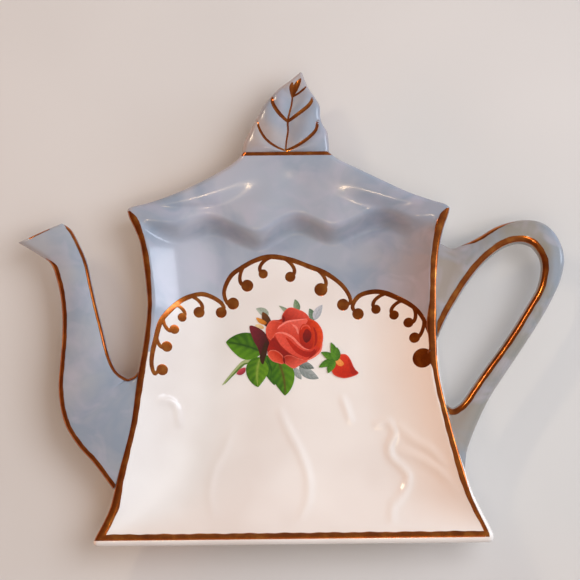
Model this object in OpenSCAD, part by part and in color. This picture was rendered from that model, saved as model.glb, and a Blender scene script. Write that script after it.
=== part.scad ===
// Tea bag rest in the shape of a teapot: a shallow porcelain dish with a moulded lid edge, a flat spout,
// an open handle, a leaf finial, fired gold lines and a rose transfer. Millimetres, +Z up.

/* [Overall] */
// Width from the spout's tip to the handle's outer edge
overall_w = 120; // [104:1:150]
// Length from the base edge to the leaf's tip
overall_l = 104; // [92:1:130]

/* [Dish] */
// Depth of the floor below the rim
dish_depth = 7; // [5:0.2:10]
// Thickness of the porcelain
wall_t = 4; // [3.2:0.1:5]
// Height of the foot ring
foot_h = 1.2; // [0.8:0.1:2.4]
// Width of the foot ring
foot_w = 2.6; // [1.8:0.1:4]
// Outer radius of the foot ring's corners
foot_corner_r = 6; // [5:0.5:9]
// Width of the level rim
rim_w = 1.8; // [1.2:0.1:2.6]
// Radius of the rounded edges
edge_r = 1.1; // [0.6:0.1:1.4]
// Run of the cove from the rim down to the floor
cove_run = 12; // [8:0.5:14]

/* [Lid edge] */
// Lobes along the lid's lower edge
lobe_count = 4; // [2:1:6]
// Length of the middle lobes in the plan
lobe_l = 3.6; // [3:0.2:6]
// Run of the moulded step below the lobes
step_run = 4; // [3:0.2:6]
// Fall of the lid from the leaf to the lobes
lid_fall = 2; // [1:0.1:3]
// Swell of each lobe
lobe_swell = 0.5; // [0.2:0.1:1]

/* [Spout and handle] */
// Step from the rim down to the spout and the handle
plate_drop = 0.8; // [0.4:0.1:1.4]
// Swell of the spout and the handle across their width
plate_swell = 0.6; // [0.2:0.1:1]
// Gap of the luted joints
lute_gap = 0.1; // [0.05:0.05:0.3]

/* [Leaf finial] */
// Swell of the leaf between its veins
leaf_swell = 1.1; // [0.4:0.1:1.6]
// Width of the leaf's gold veins
vein_w = 0.8; // [0.5:0.1:1.2]

/* [Fired gold] */
// Thickness of the gold
gold_t = 0.2; // [0.1:0.05:0.4]
// Gap under the gold and the transfer
glaze_gap = 0.1; // [0.05:0.05:0.2]
// Width of the gold on the rim
rim_line_w = 1.8; // [1:0.1:2.4]
// Width of the gold on the spout's edges
edge_line_w = 1.2; // [0.8:0.1:1.6]
// Width of the gold on the handle's outer edge
crest_line_w = 0.9; // [0.6:0.1:1.4]
// Width of the gold line on the lid under the leaf
finial_line_w = 0.9; // [0.6:0.1:1.4]
// Width of the gold round the handle's loop
loop_line_w = 1.6; // [1:0.1:2]
// Width of the scroll's lines
scroll_w = 1; // [0.6:0.1:1.4]
// Diameter of the drops that end the curls
drop_d = 2.2; // [1.4:0.1:2.6]

/* [Rose transfer] */
// Diameter of the rose
rose_d = 13; // [9:0.5:15]
// Petals in each of the rose's rings
petal_count = 5; // [4:1:7]
// Diameter of the bud
bud_d = 5; // [4:0.2:6]
// Length of a rose leaf
rose_leaf_l = 7.4; // [5:0.2:9]
// Thickness of the transfer
transfer_t = 0.15; // [0.1:0.05:0.3]

/* [Hidden] */

// Heights
floor_z = foot_h + wall_t;
rim_z = floor_z + dish_depth;
plate_z = rim_z - plate_drop;
plate_t = wall_t - plate_drop;

// Outline of the body as ribs from the base edge to the shoulder: length share, left and right width shares
side_shares = [
    [-0.5, -0.3565, 0.353],
    [-0.4955, -0.362, 0.359],
    [-0.487, -0.3615, 0.3605],
    [-0.475, -0.3565, 0.3575],
    [-0.447, -0.3435, 0.3455],
    [-0.42, -0.333, 0.334],
    [-0.39, -0.326, 0.3225],
    [-0.345, -0.317, 0.31],
    [-0.245, -0.2965, 0.287],
    [-0.15, -0.283, 0.269],
    [-0.07, -0.2705, 0.265],
    [0, -0.264, 0.266],
    [0.05, -0.2665, 0.267],
    [0.1, -0.272, 0.27],
    [0.138, -0.2775, 0.275],
    [0.168, -0.2875, 0.282],
    [0.19, -0.2965, 0.289],
    [0.205, -0.3, 0.292]];

// Outline of the lid from the shoulder to the leaf's base
lid_shares = [
    [0.205, -0.3, 0.292],
    [0.213, -0.294, 0.284],
    [0.222, -0.261, 0.259],
    [0.24, -0.2155, 0.216],
    [0.264, -0.168, 0.172],
    [0.292, -0.123, 0.123],
    [0.312, -0.098, 0.088],
    [0.327, -0.088, 0.0715]];

// Outline of the leaf from its base to its tip
leaf_shares = [
    [0.327, -0.088, 0.0715],
    [0.349, -0.085, 0.0715],
    [0.372, -0.0755, 0.0685],
    [0.39, -0.067, 0.0595],
    [0.405, -0.0605, 0.0565],
    [0.428, -0.049, 0.0555],
    [0.447, -0.0355, 0.0465],
    [0.467, -0.0185, 0.035],
    [0.484, 0.002, 0.0285],
    [0.5, 0.0185, 0.024]];

// Ribs of the spout from its tip to its seam: inner edge, outer edge
spout_shares = [
    [-0.42, 0.181, -0.5, 0.141],
    [-0.403, 0.168, -0.463, 0.115],
    [-0.388, 0.136, -0.441, 0.094],
    [-0.374, 0.097, -0.43, 0.06],
    [-0.365, 0.05, -0.423, 0.021],
    [-0.356, 0.004, -0.42, -0.025],
    [-0.345, -0.047, -0.421, -0.072],
    [-0.334, -0.098, -0.424, -0.114],
    [-0.321, -0.132, -0.427, -0.164],
    [-0.303, -0.148, -0.423, -0.211],
    [-0.296, -0.148, -0.412, -0.253],
    [-0.29, -0.145, -0.389, -0.294],
    [-0.286, -0.141, -0.3625, -0.328],
    [-0.282, -0.135, -0.326, -0.385]];

// Ribs of the handle from its upper seam to its lower seam: outer edge, loop edge
handle_shares = [
    [0.275, 0.13, 0.266, -0.072],
    [0.295, 0.119, 0.281, -0.034],
    [0.32, 0.129, 0.302, 0.008],
    [0.346, 0.144, 0.326, 0.05],
    [0.374, 0.163, 0.356, 0.09],
    [0.404, 0.174, 0.388, 0.118],
    [0.433, 0.178, 0.417, 0.128],
    [0.462, 0.171, 0.439, 0.121],
    [0.486, 0.146, 0.453, 0.1],
    [0.5, 0.101, 0.457, 0.074],
    [0.493, 0.051, 0.45, 0.036],
    [0.47, -0.004, 0.431, -0.002],
    [0.445, -0.051, 0.407, -0.046],
    [0.417, -0.099, 0.381, -0.09],
    [0.387, -0.149, 0.352, -0.134],
    [0.36, -0.195, 0.326, -0.176],
    [0.34, -0.239, 0.308, -0.205],
    [0.325, -0.278, 0.293, -0.218],
    [0.315, -0.312, 0.284, -0.215],
    [0.311, -0.349, 0.28, -0.209]];

// Places up the plan
base_y = -overall_l / 2;
shoulder_y = overall_l * lid_shares[0][0];
lid_y = overall_l * leaf_shares[0][0];
cusp_share = 0.178;
cusp_y = overall_l * cusp_share;
mid_lobe_y = cusp_y - lobe_l / 2;
lobe_fade = 4 * lobe_l;

// Number of steps along and across each surface
dish_cols = 36;
front_rows = 8;
floor_rows = 5;
lobe_rows = 16;
lid_rows = 8;
spout_cols = 6;
handle_cols = 6;
leaf_cols = 12;
band_rows = 5;

// The gold starts a little over the rounded edge
gold_in = edge_r / 4;

// Scroll as shares of the field between the rim's gold lines and of the length: each arch from end to end
left_arch_shares = [[0.033, -0.131], [0.02, -0.14], [0.004, -0.12], [0, -0.095], [0.003, -0.07],
    [0.011, -0.035], [0.029, -0.015], [0.071, 0.011], [0.112, 0.025], [0.158, 0.032], [0.195, 0.027],
    [0.231, 0.014], [0.242, 0.001], [0.226, -0.007]];
centre_arch_shares = [[0.27, 0.012], [0.254, 0.014], [0.245, 0.033], [0.255, 0.053], [0.28, 0.074],
    [0.319, 0.089], [0.369, 0.104], [0.425, 0.112], [0.498, 0.105], [0.571, 0.089], [0.619, 0.078],
    [0.66, 0.063], [0.693, 0.046], [0.715, 0.026], [0.718, 0.011], [0.697, 0.007]];
right_arch_shares = [[0.755, -0.013], [0.729, -0.002], [0.733, 0.013], [0.76, 0.028], [0.809, 0.034],
    [0.85, 0.03], [0.895, 0.018], [0.938, 0.003], [0.97, -0.014], [0.992, -0.037], [1, -0.074]];

// Drops at the ends of the arches, and one beside the right rim: place and size
left_drop_shares = [[[0.033, -0.131], 1], [[0.226, -0.007], 1]];
centre_drop_shares = [[[0.27, 0.012], 1.1], [[0.697, 0.007], 1.1]];
right_drop_shares = [[[0.755, -0.013], 1.05], [[1, -0.113], 1.5]];

// Curls: place along the arch, place of the drop, bulge to the right and the drop's size
left_curl_shares = [
    [0.53, [0.082, -0.019], -0.6, 0.8],
    [0.63, [0.141, -0.007], -0.6, 1],
    [0.42, [0.057, -0.045], 0.6, 0.85],
    [0.36, [0.036, -0.082], 0.25, 0.95]];
centre_curl_shares = [
    [0.32, [0.329, 0.05], 0.6, 1.1],
    [0.46, [0.394, 0.075], 0.6, 0.85],
    [0.51, [0.496, 0.068], -0.6, 0.95],
    [0.6, [0.613, 0.04], -0.45, 1.2]];
right_curl_shares = [
    [0.49, [0.821, -0.004], 0.6, 0.85],
    [0.6, [0.89, -0.018], 0.6, 0.85],
    [0.69, [0.945, -0.036], -0.4, 0.9],
    [0.86, [0.968, -0.069], -0.2, 0.95]];

// Lines across the leaf from base to tip, as shares of its length: height at the midrib, rise to the edge,
// and the part of the rise that is straight
vein_shares = [[0, 0, 1], [0.02, 0.43, 0.35], [0.385, 0.34, 0.85], [0.69, 0.15, 1], [1, 0, 1]];
// How far the gold veins run from the midrib to the edge, and where the midrib's gold ends
vein_reach_shares = [0.9, 0.88, 0.82];
midrib_share = 0.66;
// Patch of gold below the leaf's tip: place up the leaf, place across it and half width
patch_shares = [[0.73, 0.52, 0.03], [0.77, 0.545, 0.09], [0.81, 0.55, 0.12], [0.855, 0.55, 0.13],
    [0.9, 0.545, 0.09]];
// Swell that is left in the furrow along a vein
furrow_share = 0.4;

// Rose spray: the bloom's place in the plan, and the places and sizes of the bud and the small bud beside it
rose_share = [0.005, -0.065];
bud_shares = [[[0.83, -0.48], 1], [[-0.68, 0.07], 0.6]];
// Leaves and stem round the rose: turn of the root and heading in degrees, then bend, length and width shares
spray_shares = [
    [256, 279, 0.12, 1, 0.42],
    [232, 197, -0.1, 0.85, 0.42],
    [206, 166, -0.1, 0.9, 0.42],
    [120, 165, 0.1, 0.55, 0.42],
    [92, 118, 0.1, 0.6, 0.42],
    [244, 234, 0.06, 1.6, 0.07]];

// Part of the way, held between nought and one
function held(t) = max(0, min(1, t));
// Cove that leaves the rim steeply and meets the floor level
function cove(t) = sin(90 * held(t));
// Soft step, level at both ends
function ease(t) = held(t) * held(t) * (3 - 2 * held(t));
// Fall of a rounded edge at a distance in from it
function edge_fall(s) = s >= edge_r ? 0 : edge_r - sqrt(edge_r ^ 2 - (edge_r - max(0, s)) ^ 2);

// Smooth value of a column in a table of ribs at a share up the plan
function rib_below(ribs, v, i = 0) = i >= len(ribs) - 2 || v < ribs[i + 1][0] ? i : rib_below(ribs, v, i + 1);
function rib_slope(ribs, i, c) =
    let (a = max(0, i - 1), b = min(len(ribs) - 1, i + 1))
    (ribs[b][c] - ribs[a][c]) / (ribs[b][0] - ribs[a][0]);
function rib_value(ribs, v, c) =
    let (i = rib_below(ribs, v), h = ribs[i + 1][0] - ribs[i][0], t = held((v - ribs[i][0]) / h))
    ribs[i][c] * (1 + 2 * t) * (1 - t) ^ 2 + ribs[i + 1][c] * t ^ 2 * (3 - 2 * t)
    + h * t * (1 - t) * (rib_slope(ribs, i, c) * (1 - t) - rib_slope(ribs, i + 1, c) * t);

// Sides of the body and the lid, and of the leaf, at a place up the plan
function body_x(y, c) = overall_w * rib_value(y <= shoulder_y ? side_shares : lid_shares, y / overall_l, c);
function leaf_x(y, c) = overall_w * rib_value(leaf_shares, y / overall_l, c);

// Smooth point at a place t along a list of points or ribs, counted in spans
function run_at(list, t) =
    let (i = min(floor(t), len(list) - 2), f = t - i, p = list[i], q = list[i + 1],
        o = list[max(0, i - 1)], r = list[min(len(list) - 1, i + 2)])
    (2 * p + (q - o) * f + (2 * o - 5 * p + 4 * q - r) * f ^ 2 + (3 * p - o - 3 * q + r) * f ^ 3) / 2;

// Line of the lid's lobes across the body: the outer ones are shorter, the valleys between them are rounded
valley_share = 0.6;
function over_valley(s) = sqrt(s ^ 2 + valley_share ^ 2) - valley_share;
function lobe(u) = over_valley(sin(180 * lobe_count * u)) / over_valley(1) * sqrt(sin(180 * held(u)));
function lobe_y(u) = cusp_y - lobe_l * lobe(u);

// Height of the dish before its edges are rounded: lid, moulded step, coved floor
function bowl_z(x, y) =
    let (l = body_x(y, 1), r = body_x(y, 2), u = held((x - l) / (r - l)), s = min(x - l, r - x),
        side = cove((s - rim_w) / cove_run),
        front = cove((y - base_y - rim_w) / cove_run),
        step = ease((lobe_y(u) - y) / step_run + 1 / 2),
        lid = held((lid_y - y) / (lid_y - cusp_y)),
        swell = lobe_swell * lobe(u) * ease(lid))
    rim_z - side * ((1 - step) * (lid_fall * lid - swell) + step * front * dish_depth);
function rim_in(x, y) = min(x - body_x(y, 1), body_x(y, 2) - x, y - base_y);
function dish_z(x, y) = bowl_z(x, y) - edge_fall(rim_in(x, y));
function under_z(x, y) = max(foot_h, bowl_z(x, y) - wall_t) + edge_fall(rim_in(x, y));

// Leaf: bands that swell between the lines of its veins, on each side of the midrib
leaf_y = lid_y + lute_gap;
leaf_l = overall_l / 2 - leaf_y;
band_count = len(vein_shares) - 1;
function vein_line(k, out) =
    let (row = vein_shares[k])
    row[0] + row[1] * out * (row[2] + (1 - row[2]) * out);
function band_below(v, out, k = 0) =
    k >= band_count - 1 || v < vein_line(k + 1, out) ? k : band_below(v, out, k + 1);
function out_at(w) = abs(2 * w - 1);
function leaf_xy(v, w) = let (y = leaf_y + leaf_l * v) [leaf_x(y, 1) * (1 - w) + leaf_x(y, 2) * w, y];
function leaf_w(v) = leaf_xy(v, 1)[0] - leaf_xy(v, 0)[0];
function leaf_in(x, y) = min(x - leaf_x(y, 1), leaf_x(y, 2) - x);
function leaf_z(x, y) =
    let (l = leaf_x(y, 1), r = leaf_x(y, 2), w = held((x - l) / (r - l)), v = held((y - leaf_y) / leaf_l),
        k = band_below(v, out_at(w)), low = vein_line(k, out_at(w)), high = vein_line(k + 1, out_at(w)),
        puff = furrow_share + (1 - furrow_share) * sin(180 * held((v - low) / (high - low))),
        room = held((r - l) / (leaf_x(leaf_y, 2) - leaf_x(leaf_y, 1))))
    plate_z + leaf_swell * puff * room * abs(sin(360 * w)) - edge_fall(leaf_in(x, y));

// Seat of a layer: on the dish it bridges the hollow of the cove
seat_run = rim_w / 2;
function bridge_z(x, y) = max(dish_z(x, y), (dish_z(x - seat_run, y) + dish_z(x + seat_run, y)) / 2);
function seat_z(x, y, on_leaf) = on_leaf ? leaf_z(x, y) : bridge_z(x, y);

// Points spread across a width, close together at both edges
function spread(n) = [for (j = [0 : n]) (1 - cos(180 * j / n)) / 2];
function steps(a, b, n) = [for (i = [1 : n]) a + (b - a) * i / n];

// Closed solid between an upper and a lower grid of points
module slab(top, under) {
    m = len(top) - 1;
    n = len(top[0]) - 1;
    low = (m + 1) * (n + 1);
    function at(i, j) = i * (n + 1) + j;
    faces = [
        for (i = [0 : m - 1], j = [0 : n - 1]) each [
            [at(i, j), at(i + 1, j), at(i + 1, j + 1)],
            [at(i, j), at(i + 1, j + 1), at(i, j + 1)],
            [low + at(i, j), low + at(i + 1, j + 1), low + at(i + 1, j)],
            [low + at(i, j), low + at(i, j + 1), low + at(i + 1, j + 1)]],
        for (j = [0 : n - 1]) each [
            [at(0, j), at(0, j + 1), low + at(0, j + 1)],
            [at(0, j), low + at(0, j + 1), low + at(0, j)],
            [at(m, j + 1), at(m, j), low + at(m, j)],
            [at(m, j + 1), low + at(m, j), low + at(m, j + 1)]],
        for (i = [0 : m - 1]) each [
            [at(i + 1, 0), at(i, 0), low + at(i, 0)],
            [at(i + 1, 0), low + at(i, 0), low + at(i + 1, 0)],
            [at(i, n), at(i + 1, n), low + at(i + 1, n)],
            [at(i, n), low + at(i + 1, n), low + at(i, n)]]];
    polyhedron(points = [each [for (row = top) each row], each [for (row = under) each row]],
        faces = faces, convexity = 8);
}

// Layer of a given thickness on a grid of points
module layer(grid, thick) {
    slab([for (row = grid) [for (p = row) p + [0, 0, glaze_gap + thick]]],
        [for (row = grid) [for (p = row) p + [0, 0, glaze_gap]]]);
}

// Layer along a path, with a half width at each point, laid on the dish or the leaf
module ribbon(path, half, thick, on_leaf = false) {
    last = len(path) - 1;
    layer([for (i = [0 : last])
        let (d = path[min(last, i + 1)] - path[max(0, i - 1)], across = [d[1], -d[0]] / norm(d))
        [for (k = [-1, 1])
            let (p = path[i] + across * half[i] * k)
            [p[0], p[1], seat_z(p[0], p[1], on_leaf)]]], thick);
}

// Round drop, cut into slices
drop_angles = [20 : 28 : 160];
module drop(c, d, thick) {
    ribbon([for (a = drop_angles) c - [0, cos(a)] * d / 2], [for (a = drop_angles) sin(a) * d / 2], thick);
}

// A place in the field between the rim's gold lines, with room beside them
function field_x(y, side, room) = body_x(y, side) + (3 - 2 * side) * (rim_line_w + glaze_gap + room);
function field_xy(p, room) =
    let (y = p[1] * overall_l)
    [field_x(y, 1, room) * (1 - p[0]) + field_x(y, 2, room) * p[0], y];
function arch_at(shares, t) = field_xy(run_at(shares, t * (len(shares) - 1)), scroll_w / 2);
function drop_r(size) = drop_d * size / 2;
function drop_at(row) = field_xy(row[0], drop_r(row[1]));

// A path stopped at the edge of the drop that it starts from
function stopped(path, row) =
    let (c = drop_at(row), r = drop_r(row[1]) + glaze_gap,
        kept = [for (p = path) if (norm(p - c) > r + glaze_gap) p], way = kept[0] - c)
    [c + way / norm(way) * r, each kept];
function turned(path) = [for (i = [len(path) - 1 : -1 : 0]) path[i]];

// Line of the scroll that tapers at both ends
taper_share = 0.45;
function tapered(t) = taper_share + (1 - taper_share) * sin(180 * t);
arch_per_span = 2;
module arch(shares, drops, both) {
    n = (len(shares) - 1) * arch_per_span;
    line = stopped([for (i = [0 : n]) arch_at(shares, i / n)], drops[0]);
    path = both ? stopped(turned(line), drops[1]) : line;
    last = len(path) - 1;
    ribbon(path, [for (i = [0 : last]) scroll_w / 2 * tapered(i / last)], gold_t);
}

// Curl with its drop: the line leaves the arch, bulges to one side and stops the glaze gap short of the drop
curl_steps = 5;
tangent_share = 0.01;
module curl(shares, row) {
    c = drop_at([row[1], row[3]]);
    on_arch = arch_at(shares, row[0]);
    along = arch_at(shares, row[0] + tangent_share) - on_arch;
    across = [along[1], -along[0]] / norm(along);
    inward = across * sign(across * (c - on_arch));
    a = on_arch + inward * (scroll_w / 2 * (1 + taper_share) + glaze_gap);
    b = (a + c) / 2 + [c[1] - a[1], a[0] - c[0]] * row[2];
    e = c + (b - c) / norm(b - c) * (drop_r(row[3]) + glaze_gap);
    ts = [for (i = [0 : curl_steps]) i / curl_steps];
    ribbon([for (t = ts) a * (1 - t) ^ 2 + b * 2 * t * (1 - t) + e * t ^ 2],
        [for (t = ts) scroll_w / 2 * (taper_share + (1 - taper_share) * t)], gold_t);
    drop(c, 2 * drop_r(row[3]), gold_t);
}

// Pointed leaf shape along a bent path
blade_steps = 8;
blunt_share = 0.12;
module blade(a, b, c, w, thick) {
    t_list = [for (i = [0 : blade_steps]) i / blade_steps];
    ribbon([for (t = t_list) a * (1 - t) ^ 2 + b * 2 * t * (1 - t) + c * t ^ 2],
        [for (t = t_list) w / 2 * max(blunt_share, sin(180 * t))], thick);
}

// Spout and handle: a point of the plate at a rib and a place across it, with its edges rounded
spout_last = len(spout_shares) - 1;
handle_last = len(handle_shares) - 1;
plan_scale = [overall_w, overall_l, overall_w, overall_l];
function rib_at(ribs, t) = let (v = run_at(ribs, t)) [for (k = [0 : 3]) v[k] * plan_scale[k]];
function rib_point(ribs, t, w) =
    let (v = rib_at(ribs, t))
    [v[0] + (v[2] - v[0]) * w, v[1] + (v[3] - v[1]) * w];
// Length of a rib measured square to the edge at its start or its end
function edge_way(ribs, t, w) =
    rib_point(ribs, min(len(ribs) - 1, t + 1 / 4), w) - rib_point(ribs, max(0, t - 1 / 4), w);
function square_l(ribs, t, w) =
    let (d = edge_way(ribs, t, w), v = rib_point(ribs, t, 1) - rib_point(ribs, t, 0))
    abs(d[0] * v[1] - d[1] * v[0]) / norm(d);
function plate_in(ribs, t, w) = min(w * square_l(ribs, t, 0), (1 - w) * square_l(ribs, t, 1));
function tip_in(ribs, t, w) = t >= 1 ? overall_w : t * norm(rib_point(ribs, 1, w) - rib_point(ribs, 0, w));
function spout_xy(t, w) =
    let (p = rib_point(spout_shares, t, w))
    t >= spout_last ? [body_x(p[1], 1) - lute_gap, p[1]] : p;
function spout_fall(t, w) = edge_fall(min(plate_in(spout_shares, t, w), tip_in(spout_shares, t, w)));
function handle_xy(t, w) =
    let (p = rib_point(handle_shares, t, w))
    t <= 0 || t >= handle_last ? [body_x(p[1], 2) + lute_gap, p[1]] : p;
function handle_fall(t, w) = edge_fall(plate_in(handle_shares, t, w));
function spout_at(t, w) = [each spout_xy(t, w), plate_z + plate_swell * sin(180 * w) - spout_fall(t, w)];
function spout_under(t, w) = [each spout_xy(t, w), plate_z - plate_t + spout_fall(t, w)];
function handle_at(t, w) = [each handle_xy(t, w), plate_z + plate_swell * sin(180 * w) - handle_fall(t, w)];
function handle_under(t, w) = [each handle_xy(t, w), plate_z - plate_t + handle_fall(t, w)];
spout_ts = [0, 0.04, 0.12, 0.25, each [0.5 : 0.5 : spout_last]];
handle_ts = [0 : 0.5 : handle_last];

// Dish: rows bend with the lobes near the lid's step and run straight elsewhere
cove_y = base_y + rim_w + cove_run;
fade_y = mid_lobe_y - lobe_fade;
dish_ys = [base_y,
    each [for (i = [1 : front_rows]) base_y + (rim_w + cove_run) * (1 - cos(90 * i / front_rows))],
    each steps(cove_y, fade_y, floor_rows), each steps(fade_y, shoulder_y, lobe_rows),
    each steps(shoulder_y, lid_y, lid_rows)];
function bend(y) = y < mid_lobe_y ? held(1 - (mid_lobe_y - y) / lobe_fade)
    : held(1 - (y - mid_lobe_y) / (shoulder_y - mid_lobe_y));
function dish_xy(u, y) =
    let (by = y + lobe_l * (1 / 2 - lobe(u)) * bend(y))
    [body_x(by, 1) * (1 - u) + body_x(by, 2) * u, by];
module dish() {
    us = spread(dish_cols);
    color("#E9E4E1") slab(
        [for (y = dish_ys) [for (u = us) let (p = dish_xy(u, y)) [p[0], p[1], dish_z(p[0], p[1])]]],
        [for (y = dish_ys) [for (u = us) let (p = dish_xy(u, y)) [p[0], p[1], under_z(p[0], p[1])]]]);
}

// Foot ring with rounded corners under the level part of the floor
foot_rows = 24;
foot_in = rim_w + cove_run;
foot_low_y = base_y + foot_in;
foot_high_y = cusp_y - lobe_l - step_run / 2;
function corner_fall(d, r) = d >= r ? 0 : r - sqrt(r ^ 2 - (r - max(0, d)) ^ 2);
function foot_outline(inset) =
    let (a = foot_low_y + inset, b = foot_high_y - inset, r = foot_corner_r - inset,
        ys = [for (v = spread(foot_rows)) a + (b - a) * v],
        x_in = [for (y = ys) foot_in + inset + corner_fall(min(y - a, b - y), r)])
    [each [for (i = [0 : foot_rows]) [body_x(ys[i], 1) + x_in[i], ys[i]]],
        each [for (i = [0 : foot_rows])
            let (k = foot_rows - i) [body_x(ys[k], 2) - x_in[k], ys[k]]]];
module foot_ring() {
    color("#DDD6CF") linear_extrude(foot_h) difference() {
        polygon(foot_outline(0));
        polygon(foot_outline(foot_w));
    }
}

module spout() {
    ws = spread(spout_cols);
    color("#AEB4C1") slab([for (t = spout_ts) [for (w = ws) spout_at(t, w)]],
        [for (t = spout_ts) [for (w = ws) spout_under(t, w)]]);
}

module handle() {
    ws = spread(handle_cols);
    color("#AEB4C1") slab([for (t = handle_ts) [for (w = ws) handle_at(t, w)]],
        [for (t = handle_ts) [for (w = ws) handle_under(t, w)]]);
}

module leaf_finial() {
    rows = [for (k = [0 : band_count - 1], i = [k == 0 ? 0 : 1 : band_rows]) [k, i / band_rows]];
    us = spread(leaf_cols);
    grid = [for (s = rows) [for (u = us)
        let (low = vein_line(s[0], out_at(u)), high = vein_line(s[0] + 1, out_at(u)))
        leaf_xy(low + (high - low) * s[1], u)]];
    color("#B9BDC8") slab(
        [for (row = grid) [for (p = row) [each p, leaf_z(p[0], p[1])]]],
        [for (row = grid) [for (p = row) [each p, plate_z - plate_t + edge_fall(leaf_in(p[0], p[1]))]]]);
}

// Gold on the rim: it lies over the rounded edge and the level rim
rim_rows = 18;
rim_cols = 3;
rim_in_list = [for (k = [0 : rim_cols]) gold_in + (rim_line_w - gold_in) * k / rim_cols];
corner_y = base_y + 2 * edge_r;
rim_ys = [base_y + gold_in, base_y + edge_r / 2, base_y + edge_r, corner_y,
    each steps(corner_y, shoulder_y, rim_rows)];
function on_dish(x, y) = [x, y, dish_z(x, y)];

module left_rim_gold() {
    color("#B8741C") layer([for (y = rim_ys) [for (s = rim_in_list) on_dish(body_x(y, 1) + s, y)]], gold_t);
}

module right_rim_gold() {
    color("#B8741C") layer([for (y = rim_ys) [for (k = [0 : rim_cols])
        on_dish(body_x(y, 2) - rim_in_list[rim_cols - k], y)]], gold_t);
}

base_cols = 20;
module base_rim_gold() {
    color("#B8741C") layer([for (s = rim_in_list)
        let (y = base_y + s, a = field_x(y, 1, 0), b = field_x(y, 2, 0))
        [for (k = [0 : base_cols]) on_dish(a + (b - a) * k / base_cols, y)]], gold_t);
}

// Gold along an edge of the spout or the handle, drawn square in from the edge and stopped short of the seam
edge_cols = 2;
seam_room = lute_gap + glaze_gap;
function line_in(w, k) = gold_in + (w - gold_in) * k / edge_cols;
function off_seam(p, side) =
    let (x = body_x(p[1], side))
    [side == 1 ? min(p[0], x - seam_room) : max(p[0], x + seam_room), p[1]];
function line_at(ribs, side, t, end, s) =
    let (p = rib_point(ribs, t, end), d = edge_way(ribs, t, end), across = [d[1], -d[0]] / norm(d),
        inward = across * sign(across * (rib_point(ribs, t, 1 - end) - p)))
    [each off_seam(p + inward * s, side),
        plate_z + plate_swell * sin(180 * s / square_l(ribs, t, end)) - edge_fall(s)];
module edge_line(ribs, side, ts, end, w) {
    layer([for (t = ts) [for (k = [0 : edge_cols])
        line_at(ribs, side, t, end, line_in(w, end == 0 ? k : edge_cols - k))]], gold_t);
}

module spout_edge_gold() {
    ts = [1 / 2 : 1 / 2 : spout_last - 1 / 2];
    color("#B8741C") {
        edge_line(spout_shares, 1, ts, 0, edge_line_w);
        edge_line(spout_shares, 1, ts, 1, edge_line_w);
    }
}

module handle_loop_gold() {
    color("#B8741C") edge_line(handle_shares, 2, [1 / 2 : 1 / 2 : handle_last - 1 / 2], 1, loop_line_w);
}

// The outer line of the handle runs from the seam to its crest
crest_share = 0.4;
module handle_edge_gold() {
    color("#B8741C") edge_line(handle_shares, 2, [1 / 2 : 1 / 2 : handle_last * crest_share], 0, crest_line_w);
}

// Gold line on the lid under the leaf
finial_cols = 12;
module finial_base_gold() {
    ys = [lid_y - finial_line_w, lid_y];
    color("#B8741C") layer([for (y = ys)
        let (a = body_x(y, 1) + gold_in, b = body_x(y, 2) - gold_in)
        [for (k = [0 : finial_cols]) on_dish(a + (b - a) * k / finial_cols, y)]], gold_t);
}

// Gold in the furrows of the leaf: the midrib, two pairs of veins, a third vein on the right and the patch
vein_steps = 6;
function vein_room(k) = 2 * (vein_w + glaze_gap) / leaf_w(vein_shares[k][0]);
module vein(path) {
    ribbon(path, [for (i = [0 : vein_steps]) vein_w / 2 * tapered(i / vein_steps)], gold_t, true);
}
module leaf_vein_gold() {
    color("#B8741C") {
        root = vein_shares[1][0];
        vein([for (v = [root, each steps(root, midrib_share, vein_steps)]) leaf_xy(v, 1 / 2)]);
        for (k = [1 : band_count - 1], side = [-1, 1]) if (k < band_count - 1 || side > 0)
            vein([for (i = [0 : vein_steps])
                let (out = vein_room(k) + (vein_reach_shares[k - 1] - vein_room(k)) * i / vein_steps)
                leaf_xy(vein_line(k, out), 1 / 2 + side * out / 2)]);
        ribbon([for (row = patch_shares) leaf_xy(row[0], row[1])],
            [for (row = patch_shares) row[2] * leaf_w(row[0])], gold_t, true);
    }
}

module left_arch_gold() {
    color("#B8741C") arch(left_arch_shares, left_drop_shares, true);
}

module centre_arch_gold() {
    color("#B8741C") arch(centre_arch_shares, centre_drop_shares, true);
}

module right_arch_gold() {
    color("#B8741C") arch(right_arch_shares, right_drop_shares, false);
}

module curls(arch_shares, curl_shares, drop_shares) {
    color("#B8741C") {
        for (row = curl_shares) curl(arch_shares, row);
        for (row = drop_shares) drop(drop_at(row), 2 * drop_r(row[1]), gold_t);
    }
}

module left_curl_gold() {
    curls(left_arch_shares, left_curl_shares, left_drop_shares);
}

module centre_curl_gold() {
    curls(centre_arch_shares, centre_curl_shares, centre_drop_shares);
}

module right_curl_gold() {
    curls(right_arch_shares, right_curl_shares, right_drop_shares);
}

// Rose: a heart and two rings of crescent petals, set half a petal apart
heart_share = 0.3;
ring_shares = [0.47, 0.8];
petal_w_share = 0.13;
petal_turn = 24;
module petal(c, r, a, w) {
    span = 360 / petal_count;
    room = asin(min(1, (w / 2 + glaze_gap) / r));
    list = [for (i = [0 : blade_steps]) a + (span - room) * (i / blade_steps - 1 / 2)];
    ribbon([for (k = list) c + r * [sin(k), cos(k)]],
        [for (i = [0 : blade_steps]) w / 2 * max(blunt_share, sin(180 * i / blade_steps))], transfer_t);
}
rose_at = [rose_share[0] * overall_w, rose_share[1] * overall_l];
module rose_transfer() {
    color("#D2402F") {
        drop(rose_at, rose_d * heart_share, transfer_t);
        for (k = [0 : len(ring_shares) - 1], i = [0 : petal_count - 1])
            petal(rose_at, rose_d / 2 * ring_shares[k], petal_turn + 360 * (i + k / 2) / petal_count,
                rose_d * petal_w_share);
    }
}

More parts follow.
